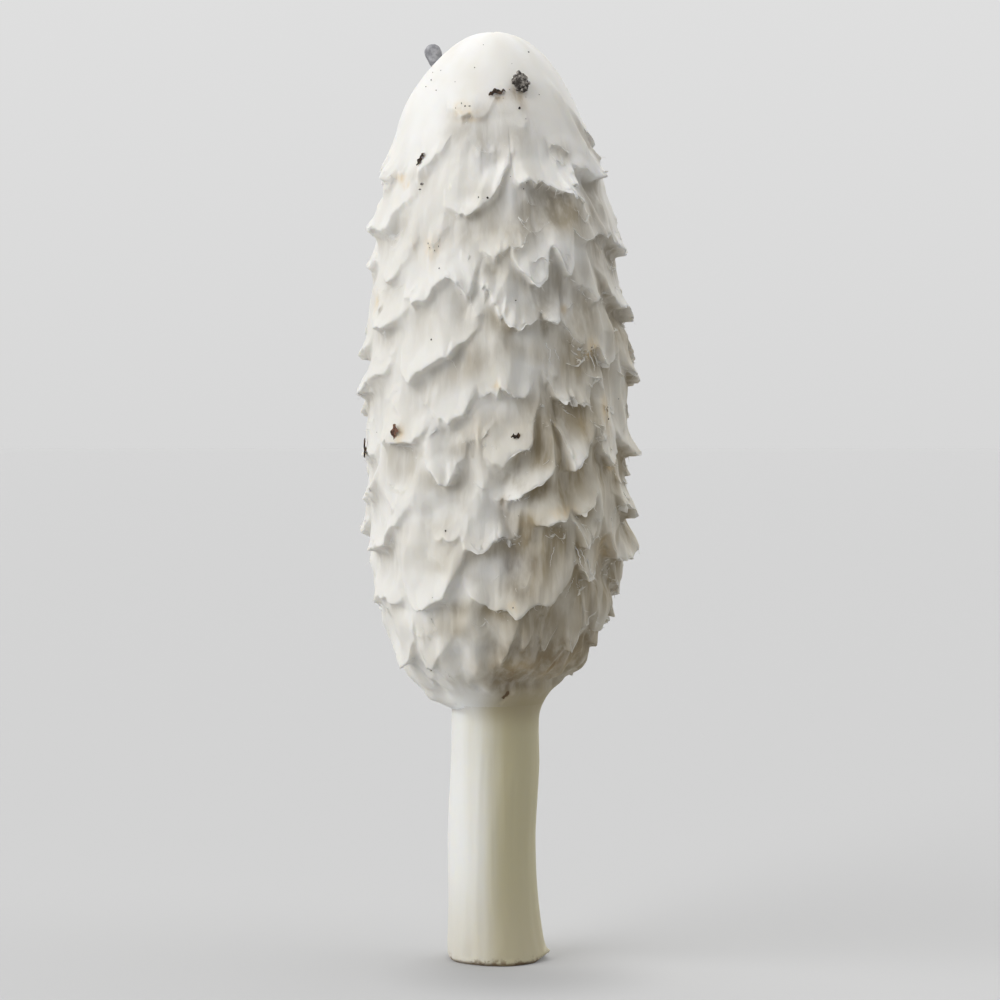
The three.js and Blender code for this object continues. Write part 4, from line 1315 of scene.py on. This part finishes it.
soil = joined_lumps("soil_clods", clods)
soil.data.materials.append(soil_finish)
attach(soil, "root")
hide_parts("soil_crumb")


# ---- The grain of grit -----------------------------------------------------------------------------------
# A small grey stone, smooth but pitted, is caught on the crown's left shoulder. It is round above and
# narrows to where it meets the skin.
grit_finish = speckled("grey_stone", linear(138, 138, 142), linear(188, 188, 192), 700, 0.75, 0.00006)
GRIT_HALF = np.array([2.0, 1.8, 2.45])
low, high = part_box("grit_grain")
grit_middle = np.array((low + high) / 2) / MM
grit_points, grit_faces = lump(np.zeros(3), GRIT_HALF, 9, 5, 0.1, 1.6)
narrowing = 1 - 0.42 * smooth_step(0.5 - 0.55 * grit_points[:, 2:] / GRIT_HALF[2])
grit_points[:, :2] *= narrowing
grit_points[:, :1] += 0.55 * (1 - narrowing)
grit_points = grit_middle + np.array([0.3, 0, -0.35]) + grit_points
grit = joined_lumps("grit_stone", [(grit_points, grit_faces)])
grit.data.materials.append(grit_finish)
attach(grit, "root")
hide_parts("grit_grain")


# ---- The shreds of leaf litter ---------------------------------------------------------------------------
# Five bits of rotten leaf stick flat to the skin. Each is a thin ragged flake, dark brown to black, with
# its edges curling up a little.
litter_finish = speckled("rotten_leaf", linear(38, 32, 28), linear(104, 82, 64), 1100, 0.8, 0.00008)
rusty_finish = speckled("rusty_leaf", linear(66, 46, 38), linear(164, 122, 100), 900, 0.8, 0.00008)
FLAKE_ROWS, FLAKE_COLUMNS = 25, 15
FLAKE_THICKNESS = 0.28
# node, length, width, roll, bend, finish
SHREDS = (
    ("leaf_shred_1", 3.3, 1.0, 98, 0.5, litter_finish),
    ("leaf_shred_2", 2.8, 0.8, -24, 0.4, litter_finish),
    ("leaf_shred_3", 3.4, 1.2, -22, 0.4, rusty_finish),
    ("leaf_shred_4", 3.8, 1.2, 6, 0.4, litter_finish),
    ("leaf_shred_5", 1.7, 0.8, 80, 0.5, litter_finish),
)
for index, (node, length, width, roll, bend, finish) in enumerate(SHREDS):
    seat, out = seat_of(node)
    axes = turned_to(out, roll)
    ragged = np.random.default_rng(200 + index).normal(size=(4, 12))
    along = np.linspace(-1, 1, FLAKE_ROWS)[:, None]
    over = np.linspace(-1, 1, FLAKE_COLUMNS)[None]
    places_along = np.linspace(1, 10, FLAKE_ROWS)
    left_edge, right_edge, bow, heave = (spline_weights(places_along, 12, False) @ line for line in ragged)
    reach_to = np.sqrt(np.clip(1.02 - along**2, 0, 1))
    half = np.where(over < 0, 1 + 0.45 * left_edge[:, None], 1 + 0.45 * right_edge[:, None]).clip(0.25, 1.7)
    side_x = 0.5 * width * reach_to * over * half + 0.25 * width * bow[:, None]
    side_y = 0.5 * length * along * np.ones_like(over)
    raised = 0.22 + bend * 0.35 * (over**2) * reach_to + 0.2 * bend * heave[:, None] * (1 + over)
    thin = FLAKE_THICKNESS * (1 - 0.75 * over**4) * (0.3 + 0.7 * reach_to)
    top = np.stack([side_x, side_y, raised + 0.5 * thin], -1)
    under = np.stack([side_x, side_y, raised - 0.5 * thin], -1)[:, ::-1]
    shell = np.concatenate([top, under], 1)
    around = 2 * FLAKE_COLUMNS
    shell_faces = wrapped_faces(FLAKE_ROWS, around)
    ends = np.arange(FLAKE_COLUMNS - 1)
    first_end = np.stack([ends, ends + 1, around - 2 - ends, around - 1 - ends], -1)
    last_end = first_end[:, ::-1] + (FLAKE_ROWS - 1) * around
    flake_points = seat + shell.reshape(-1, 3) @ axes
    flake = skin_object(node + "_flake", flake_points, [shell_faces, first_end, last_end], {})
    flake.data.materials.append(finish)
    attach(flake, "root")
    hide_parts(node)


# ---- The specks ------------------------------------------------------------------------------------------
# Specks of the same soil, most well under a millimetre, are scattered over the crown and caught on the lips.
# (angle, height, size in mm)
SPECKS = (
    (16, 163.4, 0.48), (-18, 163.8, 0.36), (-21, 164.4, 0.33), (-24, 163.6, 0.3), (-15.5, 163.9, 0.27),
    (-8, 146.3, 0.36), (-4, 146.2, 0.45), (-6, 146.0, 0.21), (14.5, 149.2, 0.42), (14, 148, 0.24),
    (-33, 138, 0.27), (-28, 137.4, 0.3), (-30, 136.6, 0.18), (-29.5, 120, 0.3), (58, 96.5, 0.3),
    (-28, 72.8, 0.27), (8, 70.9, 0.27), (-22, 84.5, 0.3), (-56, 169.6, 0.3), (-61, 171.3, 0.27),
    (-58, 168.4, 0.21), (-45, 167.4, 0.24), (-16.5, 171.7, 0.24), (33, 166.5, 0.24), (43, 175.3, 0.24),
    (-13, 176.6, 0.21), (-40, 149.4, 0.54), (-41, 148.4, 0.42), (44, 118.8, 0.36), (55, 107.6, 0.3),
    (55.5, 105.4, 0.36), (19, 161.5, 0.21), (6, 165.4, 0.3), (11, 167.2, 0.3), (22, 165.8, 0.27),
)
SMALL_SPECKS = 34
speck_luck = np.random.default_rng(83)
specks = list(SPECKS)
for _ in range(SMALL_SPECKS):
    specks.append([speck_luck.uniform(low, high) for low, high in ((-180, 180), (64, 177), (0.12, 0.22))])
grains = []
for index, (angle, height, size) in enumerate(specks):
    shape_luck = 0.5 * size * speck_luck.uniform(0.4, 1.6, 3)
    grains.append(lump(on_skin(angle, height, 0.12 * size), shape_luck, 300 + index, 2, 0.4, 0.3))
speckles = joined_lumps("soil_specks", grains)
speckles.data.materials.append(soil_finish)
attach(speckles, "root")


# ---- Floor and lamps -------------------------------------------------------------------------------------
# A pale, seamless floor lies under the mushroom and holds its soft shadow, with a painted shadow before the
# foot, and the studio round it is as pale. Light comes from a broad window on the left and a wide soft lamp
# overhead. None of it is the object.
FLOOR_REACH = 40
FLOOR_GLOW, FAR_GLOW, HALF_WAY_OUT = 0.109, 0.029, 3.0
PAINTED_SHADOW_MIDDLE = (0.005, -0.019, 0)
# each as (from, to, value at the first, value at the second), by distance in metres or by height on the sky
PAINTED_FOOT_SHADOW = (0.002, 0.031, 0.78, 1)
SKY_LIGHT = (0, 1, 0.28, 0.38)
BACKDROP_GREY = (0, 0.18, 0.684, 0.745)
floor_mesh = bpy.data.meshes.new("floor")
floor_corners = [(FLOOR_REACH * x, FLOOR_REACH * y, 0) for x, y in ((-1, -1), (1, -1), (1, 1), (-1, 1))]
floor_mesh.from_pydata(floor_corners, [], [(0, 1, 2, 3)])
floor = bpy.data.objects.new("floor", floor_mesh)
bpy.context.scene.collection.objects.link(floor)
pale = Finish(bpy.data.materials.new("pale_floor"))


def distance_from(middle):
    """How far each place on the floor lies from a point."""
    distance = pale.nodes.new("ShaderNodeVectorMath")
    distance.operation = "DISTANCE"
    pale.links.new(pale.place, distance.inputs[0])
    distance.inputs[1].default_value = middle
    return distance.outputs["Value"]


def seen_plainly(finish, unseen, seen):
    """One shader for rays from the camera, also by way of a glossy or a clear surface, and else another."""
    ray = finish.nodes.new("ShaderNodeLightPath").outputs
    straight = finish.maths(ray["Is Camera Ray"], "MAXIMUM", ray["Is Glossy Ray"])
    choose = finish.nodes.new("ShaderNodeMixShader")
    finish.links.new(finish.maths(straight, "MAXIMUM", ray["Is Transmission Ray"]), choose.inputs[0])
    finish.links.new(unseen.outputs[0], choose.inputs[1])
    finish.links.new(seen.outputs[0], choose.inputs[2])
    return choose.outputs[0]


# in front of the foot a soft shadow is painted into the floor's colour and glow, and far off it pales towards
# the backdrop
shade = pale.between(distance_from(PAINTED_SHADOW_MIDDLE), *PAINTED_FOOT_SHADOW)
far = distance_from((0, 0, 0))
share_off = pale.maths(far, "DIVIDE", pale.plus(far, HALF_WAY_OUT))
glow = pale.plus(pale.times(share_off, FAR_GLOW), FLOOR_GLOW)
pale.set_shader({
    "Base Color": pale.blended(shade, (0, 0, 0, 1), (0.5, 0.5, 0.5, 1)),
    "Roughness": 0.95,
    "Specular IOR Level": 0,
    "Emission Color": (1, 1, 1, 1),
    "Emission Strength": pale.times(glow, shade),
})
dull = pale.nodes.new("ShaderNodeBsdfDiffuse")
dull.inputs["Color"].default_value = (0.4, 0.4, 0.4, 1)
pale.links.new(seen_plainly(pale, dull, pale.shader), pale.nodes["Material Output"].inputs["Surface"])
floor_mesh.materials.append(pale.owner)

world = bpy.data.worlds.new("studio")
bpy.context.scene.world = world
studio = Finish(world, "Generated")
lighting = studio.nodes["Background"]
lighting.inputs["Color"].default_value = (1, 1, 1, 1)
studio.links.new(studio.between(studio.z, *SKY_LIGHT, "LINEAR"), lighting.inputs["Strength"])
backdrop = studio.nodes.new("ShaderNodeBackground")
studio.links.new(studio.between(studio.z, *BACKDROP_GREY, "LINEAR"), backdrop.inputs["Color"])
studio.links.new(seen_plainly(studio, lighting, backdrop), studio.nodes["World Output"].inputs["Surface"])


def hang_lamp(name, energy, spread, azimuth, height):
    """A soft lamp far off. Its azimuth grows from the front towards the left. The angles are in degrees."""
    lamp = bpy.data.lights.new(name, "SUN")
    lamp.energy = energy
    lamp.angle = math.radians(spread)
    holder = bpy.data.objects.new(name, lamp)
    turn, rise = math.radians(azimuth), math.radians(height)
    towards = Vector((-math.sin(turn) * math.cos(rise), -math.cos(turn) * math.cos(rise), math.sin(rise)))
    holder.rotation_euler = (-towards).to_track_quat("-Z", "Y").to_euler()
    bpy.context.scene.collection.objects.link(holder)


hang_lamp("window", 2.08, 60, 62, 24)
hang_lamp("overhead", 1.7, 84, -132, 58)
bpy.context.scene.view_settings.view_transform = "Standard"
